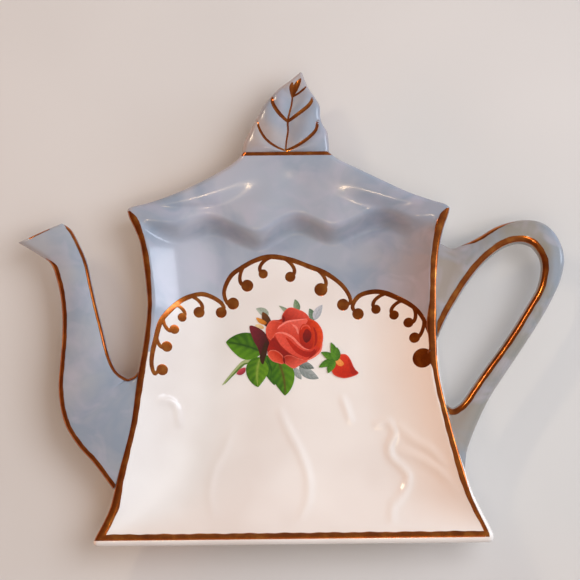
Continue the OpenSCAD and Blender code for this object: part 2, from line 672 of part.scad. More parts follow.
module bud_transfer() {
    color("#C2382A") for (row = bud_shares) drop(rose_at + row[0] * rose_d, bud_d * row[1], transfer_t);
}

// Leaves and stem: each starts beside the outer petals and bends to its tip
module foliage_transfer() {
    color("#4E7D1B") for (row = spray_shares) {
        l = rose_leaf_l * row[3];
        way = [sin(row[1]), cos(row[1])] * l;
        a = rose_at + (rose_d / 2 + glaze_gap) * [sin(row[0]), cos(row[0])];
        blade(a, a + way / 2 + [way[1], -way[0]] * row[2], a + way, l * row[4], transfer_t);
    }
}

dish();
foot_ring();
spout();
handle();
leaf_finial();
left_rim_gold();
right_rim_gold();
base_rim_gold();
spout_edge_gold();
handle_loop_gold();
handle_edge_gold();
finial_base_gold();
leaf_vein_gold();
left_arch_gold();
centre_arch_gold();
right_arch_gold();
left_curl_gold();
centre_curl_gold();
right_curl_gold();
rose_transfer();
bud_transfer();
foliage_transfer();
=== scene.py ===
import math
from functools import partial

import bpy
import numpy as np
from mathutils import Matrix, Vector


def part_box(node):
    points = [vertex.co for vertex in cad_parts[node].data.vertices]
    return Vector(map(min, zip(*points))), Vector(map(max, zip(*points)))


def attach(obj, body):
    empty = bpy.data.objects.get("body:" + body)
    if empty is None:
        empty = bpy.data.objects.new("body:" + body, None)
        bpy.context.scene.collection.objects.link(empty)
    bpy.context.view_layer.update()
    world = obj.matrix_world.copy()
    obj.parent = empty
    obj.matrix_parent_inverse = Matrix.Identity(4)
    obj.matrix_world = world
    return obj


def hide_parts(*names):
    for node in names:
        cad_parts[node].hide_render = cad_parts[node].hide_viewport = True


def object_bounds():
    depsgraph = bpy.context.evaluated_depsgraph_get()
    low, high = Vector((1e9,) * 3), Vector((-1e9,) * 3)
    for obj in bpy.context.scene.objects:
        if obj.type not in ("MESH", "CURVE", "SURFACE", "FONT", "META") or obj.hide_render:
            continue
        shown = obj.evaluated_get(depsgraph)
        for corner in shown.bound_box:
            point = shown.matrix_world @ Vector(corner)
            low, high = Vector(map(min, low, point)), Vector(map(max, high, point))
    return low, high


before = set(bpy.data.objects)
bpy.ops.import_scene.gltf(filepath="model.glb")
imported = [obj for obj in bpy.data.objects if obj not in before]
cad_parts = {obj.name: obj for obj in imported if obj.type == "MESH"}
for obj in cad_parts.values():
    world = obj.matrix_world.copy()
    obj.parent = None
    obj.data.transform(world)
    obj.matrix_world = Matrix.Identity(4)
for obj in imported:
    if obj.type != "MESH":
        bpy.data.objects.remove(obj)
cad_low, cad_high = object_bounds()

# Teapot-shaped porcelain tea bag rest: a coved dish with a lobed lid edge, flat spout, open handle, leaf
# finial, fired gold and a rose spray. The form is worked out in millimetres and made in metres.
MM = 0.001

# Sizes from the frame
OVERALL_W = round((cad_high.x - cad_low.x) / MM, 2)
OVERALL_L = round((cad_high.y - cad_low.y) / MM, 2)
RIM_Z = round(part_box("dish")[1].z / MM, 2)
FOOT_H = round(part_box("foot_ring")[1].z / MM, 2)

# Sizes of the porcelain; the foot of the cove and the lid's step run softer than in the solids
WALL_T = 4.0
RIM_W = 1.8
EDGE_R = 1.1
COVE_RUN = 12.0
COVE_TAIL = 1.35
COVE_POWER = 2.2
LOBE_L = 3.6
STEP_RUN = 5.4
LID_FALL = 2.0
LID_COVE = 20.0
LOBE_SWELL = 0.5
PLATE_DROP = 0.8
PLATE_SWELL = 0.6
LEAF_SWELL = 1.1
UNDER_ROOM = 0.35

FLOOR_Z = FOOT_H + WALL_T
DISH_DEPTH = RIM_Z - FLOOR_Z
PLATE_Z = RIM_Z - PLATE_DROP
PLATE_T = WALL_T - PLATE_DROP

# Widths of the gold lines, the scroll's room and its drops; the brush drew some of them finer than the solids
RIM_LINE_W = 1.8
EDGE_LINE_W = 1.2
NECK_LINE_W = 0.75
LOOP_LINE_W = 1.6
CREST_LINE_W = 0.9
FINIAL_LINE_W = 0.8
SCROLL_W = 1.0
SCROLL_LINE_W = 1.1
DROP_D = 2.45
GLAZE_GAP = 0.1

# Outline in thousandths of the length and the width: ribs of the body's sides, the lid and the leaf
SIDE_RIBS = np.array([
    [-500, -356.5, 353], [-495.5, -362, 359], [-487, -361.5, 360.5], [-475, -356.5, 357.5],
    [-447, -343.5, 345.5], [-420, -333, 334], [-390, -326, 322.5], [-345, -317, 310], [-245, -296.5, 287],
    [-150, -283, 269], [-70, -270.5, 265], [0, -264, 266], [50, -266.5, 267], [100, -272, 270],
    [138, -277.5, 275], [168, -287.5, 282], [190, -296.5, 289], [205, -300, 292]]) / 1000
LID_RIBS = np.array([
    [205, -300, 292], [213, -294, 284], [222, -261, 259], [240, -215.5, 216], [264, -168, 172],
    [292, -123, 123], [312, -98, 88], [327, -88, 71.5]]) / 1000
LEAF_RIBS = np.array([
    [327, -88, 71.5], [349, -85, 71.5], [372, -75.5, 68.5], [390, -67, 59.5], [405, -60.5, 56.5],
    [428, -49, 55.5], [447, -35.5, 46.5], [467, -18.5, 35], [484, 2, 28.5], [500, 18.5, 24]]) / 1000

# Ribs of the spout from its tip to its seam, inner edge then outer edge
SPOUT_RIBS = np.array([
    [-420, 181, -500, 141], [-403, 168, -463, 115], [-388, 136, -441, 94], [-374, 97, -430, 60],
    [-365, 50, -423, 21], [-356, 4, -420, -25], [-345, -47, -421, -72], [-334, -98, -424, -114],
    [-321, -132, -427, -164], [-303, -148, -423, -211], [-296, -148, -412, -253], [-290, -145, -389, -294],
    [-286, -141, -362.5, -328], [-282, -135, -326, -385]]) / 1000
# Ribs of the handle from its upper seam to its lower seam, outer edge then loop edge
HANDLE_RIBS = np.array([
    [275, 130, 266, -72], [295, 119, 281, -34], [320, 129, 302, 8], [346, 144, 326, 50], [374, 163, 356, 90],
    [404, 174, 388, 118], [433, 178, 417, 128], [462, 171, 439, 121], [486, 146, 453, 100],
    [500, 101, 457, 74], [493, 51, 450, 36], [470, -4, 431, -2], [445, -51, 407, -46], [417, -99, 381, -90],
    [387, -149, 352, -134], [360, -195, 326, -176], [340, -239, 308, -205], [325, -278, 293, -218],
    [315, -312, 284, -215], [311, -349, 280, -209]]) / 1000

# Places up the plan
BASE_Y = -OVERALL_L / 2
SHOULDER_Y = OVERALL_L * LID_RIBS[0, 0]
LID_Y = OVERALL_L * LEAF_RIBS[0, 0]
CUSP_Y = OVERALL_L * 0.178
MID_LOBE_Y = CUSP_Y - LOBE_L / 2
LOBE_FADE = 4 * LOBE_L


def pairs(flat, parts):
    """Points from a list of x and y in parts of a unit."""
    return np.reshape(flat, (-1, 2)) / parts


def held(t):
    """Part of the way, held between nought and one."""
    return np.clip(t, 0, 1)


def between(a, b, t):
    """A share of the way from one value to another."""
    return a * (1 - t) + b * t


def share_of(value, low, high):
    """Where a value lies between two others, as a share of the way."""
    return (value - low) / (high - low)


def cove(t):
    """Cove that leaves the rim steeply and dies softly into the floor."""
    return 1 - (1 - held(t / COVE_TAIL)) ** COVE_POWER


def ease(t):
    """Soft step, level at both ends."""
    return held(t) ** 2 * (3 - 2 * held(t))


def soft(t):
    """Softer step, with no break in its bend at either end."""
    return held(t) ** 3 * (10 - 15 * held(t) + 6 * held(t) ** 2)


def edge_fall(s):
    """Fall of a rounded edge at a distance in from it."""
    return EDGE_R - np.sqrt(EDGE_R ** 2 - (EDGE_R - np.clip(s, 0, EDGE_R)) ** 2)


def rib_value(ribs, v, c):
    """Smooth value of a column in a table of ribs at a share up the plan."""
    n = len(ribs)
    i = np.clip(np.searchsorted(ribs[:, 0], v, side="right") - 1, 0, n - 2)
    low = np.maximum(0, np.arange(n) - 1)
    high = np.minimum(n - 1, np.arange(n) + 1)
    slope = (ribs[high, c] - ribs[low, c]) / (ribs[high, 0] - ribs[low, 0])
    h = ribs[i + 1, 0] - ribs[i, 0]
    t = held((v - ribs[i, 0]) / h)
    ends = ribs[i, c] * (1 + 2 * t) * (1 - t) ** 2 + ribs[i + 1, c] * t ** 2 * (3 - 2 * t)
    return ends + h * t * (1 - t) * (slope[i] * (1 - t) - slope[i + 1] * t)


def body_x(y, c):
    """Left (1) or right (2) side of the body and the lid at a place up the plan."""
    v = y / OVERALL_L
    return OVERALL_W * np.where(y <= SHOULDER_Y, rib_value(SIDE_RIBS, v, c), rib_value(LID_RIBS, v, c))


def inside_x(y, c, room):
    """A place at some room in from a side of the body."""
    return body_x(y, c) + (3 - 2 * c) * room


def leaf_x(y, c):
    """Left (1) or right (2) side of the leaf at a place up the plan."""
    return OVERALL_W * rib_value(LEAF_RIBS, y / OVERALL_L, c)


def run_at(rows, t):
    """Smooth points at places t along a list of points or ribs, counted in spans."""
    rows = np.asarray(rows, float)
    t = np.asarray(t, float)
    i = np.clip(np.floor(t).astype(int), 0, len(rows) - 2)
    f = (t - i)[..., None]
    o, p = rows[np.maximum(0, i - 1)], rows[i]
    q, r = rows[i + 1], rows[np.minimum(len(rows) - 1, i + 2)]
    return (2 * p + (q - o) * f + (2 * o - 5 * p + 4 * q - r) * f ** 2 + (3 * p - o - 3 * q + r) * f ** 3) / 2


# Lobes of the lid, not quite alike: share across the body and reach below the valleys
LOBES = np.array([
    [0, 0], [0.13, 1.8], [0.255, 0], [0.39, 3.5], [0.52, -0.2], [0.645, 2.4], [0.785, -1.2], [0.9, 0.9],
    [1, -0.4]])


def lobe(u):
    """How far a lobe of the lid reaches at a place across the body."""
    return rib_value(LOBES, u, 1)


def bowl_z(x, y):
    """Height of the dish before its edges are rounded: lid, moulded step and coved floor."""
    left, right = body_x(y, 1), body_x(y, 2)
    u = held(share_of(x, left, right))
    side = cove((np.minimum(x - left, right - x) - RIM_W) / COVE_RUN)
    hollow = soft((x - left - RIM_W) / LID_COVE) * soft((right - x - RIM_W) / LID_COVE)
    front = cove((y - BASE_Y - RIM_W) / COVE_RUN)
    step = soft((CUSP_Y - lobe(u) - y) / STEP_RUN + 0.5)
    lid = held((LID_Y - y) / (LID_Y - CUSP_Y))
    swell = LOBE_SWELL * lobe(u) / LOBE_L * ease(lid)
    return RIM_Z - (1 - step) * hollow * (LID_FALL * lid - swell) - step * side * front * DISH_DEPTH


def side_room(x, y, c):
    """Distance in from a side, square to its slope."""
    reach = EDGE_R / 4
    slope = (body_x(y + reach, c) - body_x(y - reach, c)) / (2 * reach)
    return np.abs(x - body_x(y, c)) / np.sqrt(1 + slope ** 2)


def rim_in(x, y):
    """Distance in from the nearest edge of the body."""
    return np.minimum(np.minimum(side_room(x, y, 1), side_room(x, y, 2)), y - BASE_Y)


# Embossed veins and scrolls in the floor, under the glaze: height, half width, course in tenths
RELIEF = [
    (0.3, 0.9, [-28, -229, -11, -269, 17, -324, 32, -377, 31, -423, 15, -460]),
    (0.34, 0.8, [109, -201, 117, -221, 126, -248]),
    (0.5, 0.9, [185, -258, 208, -253, 223, -278, 211, -308, 217, -333, 241, -357, 252, -379, 240, -410, 216,
        -440, 213, -471]),
    (0.4, 1.1, [240, -318, 285, -340, 330, -374, 360, -410]),
    (0.4, 1.1, [234, -265, 264, -294, 300, -318, 330, -350]),
    (0.44, 0.8, [-290, -204, -271, -204, -256, -218, -249, -253]),
    (0.16, 1, [-135, -267, -152, -311, -175, -355, -184, -410, -176, -450])]
RELIEF_PER_SPAN = 6
RELIEF_FADE = 4.0
# A ridge swells in half a wave that starts and ends this share in
RIDGE_END = 0.08


def relief(x, y):
    """Height of the embossing over the plain floor."""
    total = np.zeros_like(x)
    inside = ease((rim_in(x, y) - RIM_LINE_W) / RELIEF_FADE)
    for height, half_w, course in RELIEF:
        course = pairs(course, 10)
        spans = len(course) - 1
        t = np.linspace(0, spans, spans * RELIEF_PER_SPAN + 1)
        path = run_at(course, t)
        fade = np.sqrt(np.sin(np.pi * held(between(RIDGE_END, 1 - RIDGE_END, t / spans))))
        ridge = np.zeros_like(x)
        for a, b, strength in zip(path[:-1], path[1:], fade):
            way = b - a
            along = held(((x - a[0]) * way[0] + (y - a[1]) * way[1]) / (way @ way))
            off = np.hypot(x - a[0] - along * way[0], y - a[1] - along * way[1])
            ridge = np.maximum(ridge, strength * np.exp(-(off / half_w) ** 2))
        total = np.maximum(total, height * ridge * inside)
    return total


def dish_z(x, y):
    """Top of the dish."""
    return bowl_z(x, y) - edge_fall(rim_in(x, y))


def under_z(x, y):
    """Underside of the dish, level where the foot ring is."""
    return np.maximum(FOOT_H, bowl_z(x, y) - WALL_T - UNDER_ROOM) + edge_fall(rim_in(x, y))


# Leaf: lines across it from base to tip, as height at the midrib, rise to the edge, straight part of the rise
VEIN_LINES = [[0, 0, 1], [0.02, 0.43, 0.35], [0.385, 0.34, 0.85], [0.69, 0.15, 1], [1, 0, 1]]
FURROW = 0.4
LEAF_SEAM = 0.3
LEAF_L = OVERALL_L / 2 - LID_Y


def vein_at(line, out):
    """Height of a line across the leaf at a share out from the midrib."""
    root, rise, straight = line
    return root + rise * out * between(straight, 1, out)


def leaf_bands(out):
    """Lower and upper height of each band between two lines across the leaf."""
    heights = [vein_at(line, out) for line in VEIN_LINES]
    return zip(heights[:-1], heights[1:])


def leaf_xy(v, w):
    """Place on the leaf at a share up it and a share across it."""
    y = LID_Y + LEAF_L * v
    return np.stack([between(leaf_x(y, 1), leaf_x(y, 2), w), y], -1)


def leaf_z(x, y):
    """Top of the leaf: bands that swell between the lines of its veins."""
    left, right = leaf_x(y, 1), leaf_x(y, 2)
    w = held(share_of(x, left, right))
    v = held((y - LID_Y) / LEAF_L)
    out = np.abs(2 * w - 1)
    puff = np.zeros_like(v)
    for low, high in leaf_bands(out):
        share = share_of(v, low, high)
        puff = np.where((share >= 0) & (share <= 1), np.sin(np.pi * held(share)), puff)
    room = held((right - left) / (leaf_x(LID_Y, 2) - leaf_x(LID_Y, 1)))
    swell = between(FURROW, 1, puff) * room * np.abs(np.sin(2 * np.pi * w))
    return PLATE_Z + LEAF_SWELL * swell - edge_fall(np.minimum(x - left, right - x))


# Spout and handle: the plan's sizes for a rib's two ends, and how far each way an edge's course is read
PLAN = np.array([OVERALL_W, OVERALL_L, OVERALL_W, OVERALL_L])
COURSE_RIBS = 0.25
# The plates run this far into the rounded rim, so that no seam shows
SEAM_IN = 0.45


def edge_way(ribs, t, end):
    """Direction of a plate's edge at the start (0) or the end (1) of its ribs."""
    after, before = np.minimum(len(ribs) - 1, t + COURSE_RIBS), np.maximum(0, t - COURSE_RIBS)
    way = ((run_at(ribs, after) - run_at(ribs, before)) * PLAN)[..., 2 * end:2 * end + 2]
    return way / np.linalg.norm(way, axis=-1, keepdims=True)


def square_l(ribs, t, end):
    """Length of a rib, measured square to the edge at its start (0) or its end (1)."""
    way = edge_way(ribs, t, end)
    rib = run_at(ribs, t) * PLAN
    reach = rib[..., 2:] - rib[..., :2]
    return np.abs(way[..., 0] * reach[..., 1] - way[..., 1] * reach[..., 0])


def plate_xy(ribs, t, w):
    """Place on a plate at a rib t and a share w across it."""
    rib = run_at(ribs, t) * PLAN
    plan = between(rib[..., :2], rib[..., 2:], w[..., None])
    plan[..., 0] = np.clip(plan[..., 0], -OVERALL_W / 2, OVERALL_W / 2)
    return plan


def plate_in(ribs, t, w, tip):
    """Distance in from the nearest edge of a plate; the spout has an edge across its tip too."""
    room = np.minimum(w * square_l(ribs, t, 0), (1 - w) * square_l(ribs, t, 1))
    if tip:
        first = np.zeros_like(t)
        span = np.linalg.norm(plate_xy(ribs, first + 1, w) - plate_xy(ribs, first, w), axis=-1)
        room = np.where(t < 1, np.minimum(room, t * span), room)
    return room


def plate_points(ribs, t, w, tip):
    """Top and underside of a plate, as grids of points."""
    plan = plate_xy(ribs, t, w)
    fall = edge_fall(plate_in(ribs, t, w, tip))
    top = lifted(plan, PLATE_Z + PLATE_SWELL * np.sin(np.pi * w) - fall)
    return top, lifted(plan, PLATE_Z - PLATE_T + fall)


def square_to(way):
    """Unit steps to the left of each way in the plan."""
    return np.stack([-way[:, 1], way[:, 0]], -1) / np.linalg.norm(way, axis=1)[:, None]


def spread(n):
    """Places across a width, close together at both edges."""
    return (1 - np.cos(np.pi * np.arange(n + 1) / n)) / 2


def lifted(plan, height):
    """Plan points with a height at each."""
    return np.concatenate([plan, np.broadcast_to(height, plan.shape[:-1])[..., None]], -1)


# Meshes

SHARP_ANGLE = math.radians(50)


def placed(name, data):
    """A new object in the scene."""
    made = bpy.data.objects.new(name, data)
    bpy.context.scene.collection.objects.link(made)
    return made


def mesh_piece(name, points, faces, material):
    """A smooth piece from points in millimetres."""
    mesh = bpy.data.meshes.new(name)
    mesh.from_pydata((np.asarray(points) * MM).tolist(), [], [list(map(int, face)) for face in faces])
    mesh.materials.append(material)
    mesh.shade_smooth()
    mesh.set_sharp_from_angle(angle=SHARP_ANGLE)
    return placed(name, mesh)


def slab_faces(rows, cols, start=0):
    """Faces of a closed slab whose upper grid comes first and whose lower grid follows it."""
    top = np.arange(rows * cols).reshape(rows, cols) + start
    quad = np.stack([top[:-1, :-1], top[:-1, 1:], top[1:, 1:], top[1:, :-1]], -1).reshape(-1, 4)
    ring = np.concatenate([top[0, :-1], top[:-1, -1], top[-1, :0:-1], top[:0:-1, 0]])
    low = ring + rows * cols
    wall = np.stack([low, np.roll(low, -1), np.roll(ring, -1), ring], -1)
    return [*quad, *(quad + rows * cols)[:, ::-1], *wall]


def slab_points(top, under):
    """Points of a slab, turned so that its upper side faces up."""
    across, along = top[0, 1:] - top[0, :-1], top[1, :-1] - top[0, :-1]
    turn = np.sum(across[:, 0] * along[:, 1] - across[:, 1] * along[:, 0])
    if turn < 0:
        top, under = top[:, ::-1], under[:, ::-1]
    return np.concatenate([top.reshape(-1, 3), under.reshape(-1, 3)])


def slab(name, top, under, material):
    """A closed piece between two grids of points."""
    return mesh_piece(name, slab_points(top, under), slab_faces(*top.shape[:2]), material)


def hand_over(piece, slot, *nodes):
    """The piece rides with the part and stands for its nodes, which are hidden."""
    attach(piece, "root")
    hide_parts(*nodes)


# Materials, with the sizes of their marks

CLOUD_MM = 15.0
STAIN_MM = 6.0
PEEL_MM = 2.5
SWELL_MM = 9.0
TINT_MM = 22.0
STROKE_MM = 2.2
GRIT_MM = 0.6
# A print's dots are about 0.1 mm; the grain is drawn coarser so that it shows
GRAIN_MM = 0.5
TABLE_MM = 60.0
# The lustre's edge is this soft to each side
LUSTRE_EDGE = 0.12
# Lustre across the width, from the spout's tip to the handle: on the dish, and on the parts joined to it
DISH_LUSTRE = [(0.2, "#A9ADB9"), (0.33, "#B2B4BF"), (0.5, "#9EA7B4"), (0.65, "#A3A7B2"), (0.78, "#9C959A")]
# On the parts, the warm tan stops at 0.45 and 0.57, over the leaf, are painted warm reflection rather than
# lustre
PARTS_LUSTRE_AND_WARM_REFLECTION = [(0.1, "#A3A8B0"), (0.2, "#9CA4AE"), (0.45, "#A9A4A5"), (0.57, "#B4A19A"), (0.85, "#8A877F")]
CLOUD_TINT = "#8796A8"
STAIN_TINT = "#BDB6C6"
GLOSS = {"Roughness": 0.2, "Coat Weight": 0.4, "Coat Roughness": 0.08}


def linear(code):
    """An sRGB hex colour as linear values."""
    values = [int(code[i:i + 2], 16) / 255 for i in (1, 3, 5)]
    return np.array([v / 12.92 if v <= 0.04045 else ((v + 0.055) / 1.055) ** 2.4 for v in values] + [1.0])


def per_mm(size):
    """Texture scale, in metres, of a pattern whose marks are about this many millimetres across."""
    return 1 / (size * MM)


def node(tree, kind, inputs=(), **settings):
    """Adds a node with its settings; its inputs are values, outputs, or nodes for their first output."""
    made = tree.nodes.new(kind)
    for name, value in settings.items():
        setattr(made, name, value)
    for key, value in dict(inputs).items():
        if isinstance(value, bpy.types.Node):
            value = value.outputs[0]
        if isinstance(value, bpy.types.NodeSocket):
            tree.links.new(value, made.inputs[key])
        else:
            made.inputs[key].default_value = value
    return made


def emptied(owner):
    """Clears the nodes of a material or a world; gives what adds nodes to it."""
    owner.use_nodes = True
    owner.node_tree.nodes.clear()
    return partial(node, owner.node_tree)


def new_material(name):
    """An empty material, what adds nodes to it, and the place on the piece."""
    material = bpy.data.materials.new(name)
    add = emptied(material)
    return material, add, add("ShaderNodeTexCoord").outputs["Object"]


def finished(material, looks):
    """Ends a material in a shader with these looks."""
    shader = node(material.node_tree, "ShaderNodeBsdfPrincipled", looks)
    node(material.node_tree, "ShaderNodeOutputMaterial", {"Surface": shader})
    return material


def colour_stops(ramp, stops):
    """Sets a colour ramp's stops, given as place and hex colour."""
    while len(ramp.color_ramp.elements) < len(stops):
        ramp.color_ramp.elements.new(0.5)
    for element, (place, code) in zip(ramp.color_ramp.elements, stops):
        element.position = place
        element.color = linear(code)
    return ramp


def pearl_colour(add, place, stops):
    """Colour of the lustre: bluer at the spout, violet in the dish and grey at the handle, with soft dark
    clouds and smaller lilac stains, as it is dabbed on."""
    spot = add("ShaderNodeSeparateXYZ", {"Vector": place})
    across_it = add("ShaderNodeMapRange", {
        "Value": spot, "From Min": -OVERALL_W / 2 * MM, "From Max": OVERALL_W / 2 * MM})
    ground = colour_stops(add("ShaderNodeValToRGB", {"Fac": across_it}), stops)
    clouds = add("ShaderNodeTexNoise", {
        "Vector": place, "Scale": per_mm(CLOUD_MM), "Detail": 3.0, "Distortion": 0.6})
    cloudy = add("ShaderNodeMapRange", {"Value": clouds, "From Min": 0.58, "From Max": 0.36, "To Max": 0.85})
    stains = add("ShaderNodeTexNoise", {
        "Vector": place, "Scale": per_mm(STAIN_MM), "Detail": 2.0, "Distortion": 0.8})
    stained = add("ShaderNodeMapRange", {"Value": stains, "From Min": 0.45, "From Max": 0.7, "To Max": 0.3})
    dark = add("ShaderNodeMix", {"Factor": cloudy, 6: ground, 7: linear(CLOUD_TINT)}, data_type="RGBA")
    lilac = add("ShaderNodeMix", {
        "Factor": stained, 6: dark.outputs[2], 7: linear(STAIN_TINT)}, data_type="RGBA")
    return lilac.outputs[2]


def glaze_bump(add, place):
    """Faint waviness of a poured glaze over hand-pressed clay."""
    swell = add("ShaderNodeTexNoise", {"Vector": place, "Scale": per_mm(SWELL_MM), "Detail": 1.0})
    slow = add("ShaderNodeBump", {"Strength": 0.5, "Distance": 0.3 * MM, "Height": swell})
    peel = add("ShaderNodeTexNoise", {"Vector": place, "Scale": per_mm(PEEL_MM), "Detail": 1.0})
    return add("ShaderNodeBump", {"Strength": 0.15, "Distance": 0.05 * MM, "Height": peel, "Normal": slow})


def glazed_porcelain():
    """White glazed hard porcelain, slip cast: warm white with a wet gloss. Above the scroll it is dabbed with
    mother-of-pearl lustre, blue-grey and cloudy, which ends at the attribute's nought line."""
    material, add, place = new_material("glazed_porcelain_part_lustred")
    tint = add("ShaderNodeTexNoise", {"Vector": place, "Scale": per_mm(TINT_MM), "Detail": 2.0})
    white = colour_stops(add("ShaderNodeValToRGB", {"Fac": tint}), [
        (0.35, "#E6DED8"), (0.5, "#ECE6E1"), (0.65, "#F0EBE6")])
    edge = add("ShaderNodeAttribute", attribute_name="lustre_line")
    share = add("ShaderNodeMapRange", {
        "Value": edge.outputs["Fac"], "From Min": -LUSTRE_EDGE * MM, "From Max": LUSTRE_EDGE * MM})
    mixed = add("ShaderNodeMix", {
        "Factor": share, 6: white, 7: pearl_colour(add, place, DISH_LUSTRE)}, data_type="RGBA")
    return finished(material, {
        "Base Color": mixed.outputs[2], "Normal": glaze_bump(add, place), "IOR": 1.52, **GLOSS})


def pearl_lustre():
    """Mother-of-pearl lustre on glazed porcelain: blue-grey clouds with lilac stains, high gloss; warm tan
    over the leaf is painted reflection.
    """
    material, add, place = new_material("mother_of_pearl_lustre")
    return finished(material, {
        "Base Color": pearl_colour(add, place, PARTS_LUSTRE_AND_WARM_REFLECTION), "Normal": glaze_bump(add, place),
        "IOR": 1.55, **GLOSS})


def fired_gold():
    """Bright gold, brushed on and fired: a mirror whose brown is painted dark reflection, redder where it is
    thin, with pale glints.
    """
    material, add, place = new_material("fired_bright_gold")
    strokes = add("ShaderNodeTexNoise", {"Vector": place, "Scale": per_mm(STROKE_MM), "Detail": 3.0})
    # The stops are darker and browner than fired gold: painted dark reflection of a dim room, varied by
    # random strokes
    tone = colour_stops(add("ShaderNodeValToRGB", {"Fac": strokes}), [
        (0.3, "#94470C"), (0.5, "#AC5710"), (0.7, "#C8762A")])
    sheen = add("ShaderNodeMapRange", {
        "Value": strokes, "From Min": 0.3, "From Max": 0.7, "To Min": 0.24, "To Max": 0.15})
    bump = add("ShaderNodeBump", {"Strength": 0.05, "Distance": 0.05 * MM, "Height": strokes})
    return finished(material, {
        "Base Color": tone, "Roughness": sheen, "Normal": bump, "Metallic": 1.0, "Coat Weight": 0.45,
        "Coat Roughness": 0.1})


def transfer_ink(name):
    """Printed ceramic transfer under a thin flux: the ink's own colours, faintly grained, softly glossy."""
    material, add, place = new_material(name)
    ink = add("ShaderNodeAttribute", attribute_name="ink")
    grain = add("ShaderNodeTexNoise", {"Vector": place, "Scale": per_mm(GRAIN_MM), "Detail": 2.0})
    level = add("ShaderNodeMapRange", {
        "Value": grain, "From Min": 0.3, "From Max": 0.7, "To Min": 0.85, "To Max": 1.06})
    toned = add("ShaderNodeHueSaturation", {"Color": ink, "Saturation": 1.03, "Value": level})
    return finished(material, {"Base Color": toned, "Roughness": 0.25, "IOR": 1.5})


def bare_bisque():
    """Unglazed foot, ground level: dry, matt, fine-grained porcelain a little darker than the glaze."""
    material, add, place = new_material("bare_bisque_foot")
    grit = add("ShaderNodeTexNoise", {"Vector": place, "Scale": per_mm(GRIT_MM), "Detail": 4.0})
    tone = colour_stops(add("ShaderNodeValToRGB", {"Fac": grit}), [(0.3, "#CBC2B8"), (0.7, "#E0D9D0")])
    bump = add("ShaderNodeBump", {"Strength": 0.3, "Distance": 0.04 * MM, "Height": grit})
    return finished(material, {"Base Color": tone, "Normal": bump, "Roughness": 0.85})


porcelain = glazed_porcelain()
lustre = pearl_lustre()
gold = fired_gold()
rose_ink = transfer_ink("rose_red_transfer")
leaf_ink = transfer_ink("leaf_green_transfer")

# Scroll in thousandths of the field between the rim's gold lines and of the length: each part's arch, its
# drops as place and size, and its curls as share along the arch, bulge to a side, and the drop at the end
SCROLL = {
    "left": (
        pairs([33, -131, 20, -140, 4, -120, 0, -95, 3, -70, 11, -35, 29, -15, 71, 11, 112, 25, 158, 32,
            195, 27, 231, 14, 242, 1, 226, -7], 1000),
        np.array([[33, -131, 1000], [226, -7, 1000]]) / 1000,
        np.array([
            [524, -1000, 82, -19, 800], [628, -1000, 141, -7, 1000], [438, 1000, 57, -45, 850],
            [344, 1000, 36, -82, 950]]) / 1000),
    "centre": (
        pairs([270, 12, 254, 14, 245, 33, 255, 53, 280, 74, 319, 89, 369, 104, 425, 112, 498, 105, 571,
            89, 619, 78, 660, 63, 693, 46, 715, 26, 718, 11, 697, 7], 1000),
        np.array([[270, 12, 1100], [697, 7, 1100]]) / 1000,
        np.array([
            [350, 1000, 329, 50, 1100], [481, 1000, 394, 75, 850], [503, -1000, 496, 68, 950],
            [611, -1000, 613, 40, 1200]]) / 1000),
    "right": (
        pairs([755, -13, 729, -2, 733, 13, 760, 28, 809, 34, 850, 30, 895, 18, 938, 3, 970, -14, 994,
            -37, 1020, -76], 1000),
        np.array([[755, -13, 1050], [1011, -113, 1750]]) / 1000,
        np.array([
            [517, 1000, 821, -4, 850], [645, 1000, 890, -18, 850], [734, -1000, 945, -36, 900],
            [886, -600, 968, -69, 950]]) / 1000)}


def field_x(y, c, room):
    """Side of the field between the rim's gold lines, with room beside them."""
    return inside_x(y, c, RIM_LINE_W + GLAZE_GAP + room)


def field_xy(share, room):
    """A place in the field."""
    share = np.asarray(share, float)
    y = share[..., 1] * OVERALL_L
    return np.stack([between(field_x(y, 1, room), field_x(y, 2, room), share[..., 0]), y], -1)


# The dish: rows bend with the lobes near the lid's step, and columns are closer at the rims
DISH_COLS = 180
FRONT_ROWS = 28
FLOOR_ROWS = 96
LOBE_ROWS = 78
LID_ROWS = 40
LUSTRE_PER_POINT = 8


def dish_grid():
    """Plan of the dish as a grid of points."""
    cove_y = BASE_Y + RIM_W + COVE_RUN
    fade_y = MID_LOBE_Y - LOBE_FADE
    front = BASE_Y + (RIM_W + COVE_RUN) * (1 - np.cos(np.pi / 2 * np.arange(FRONT_ROWS) / FRONT_ROWS))
    ys = np.concatenate([
        front, np.linspace(cove_y, fade_y, FLOOR_ROWS, endpoint=False),
        np.linspace(fade_y, SHOULDER_Y, LOBE_ROWS, endpoint=False),
        np.linspace(SHOULDER_Y, LID_Y, LID_ROWS + 1)])
    u = (spread(DISH_COLS) + np.linspace(0, 1, DISH_COLS + 1)) / 2
    y, u = np.meshgrid(ys, u, indexing="ij")
    bend = np.where(y < MID_LOBE_Y, held(1 - (MID_LOBE_Y - y) / LOBE_FADE),
        held(1 - (y - MID_LOBE_Y) / (SHOULDER_Y - MID_LOBE_Y)))
    y = y + (LOBE_L / 2 - lobe(u)) * bend
    return between(body_x(y, 1), body_x(y, 2), u), y


def lustre_height(x, y):
    """Height in the plan above the line where the lustre ends, which the scroll covers."""
    arches = [arch for arch, *_ in SCROLL.values()]
    line = [*arches[0][3:-1], *arches[1][2:-1], *arches[2][1:]]
    line = run_at(line, np.linspace(0, len(line) - 1, LUSTRE_PER_POINT * len(line)))
    order = np.argsort(line[:, 0], kind="stable")
    left, right = (field_x(y, c, SCROLL_W / 2) for c in (1, 2))
    height = np.interp(share_of(x, left, right), line[order, 0], line[order, 1])
    return y - OVERALL_L * height


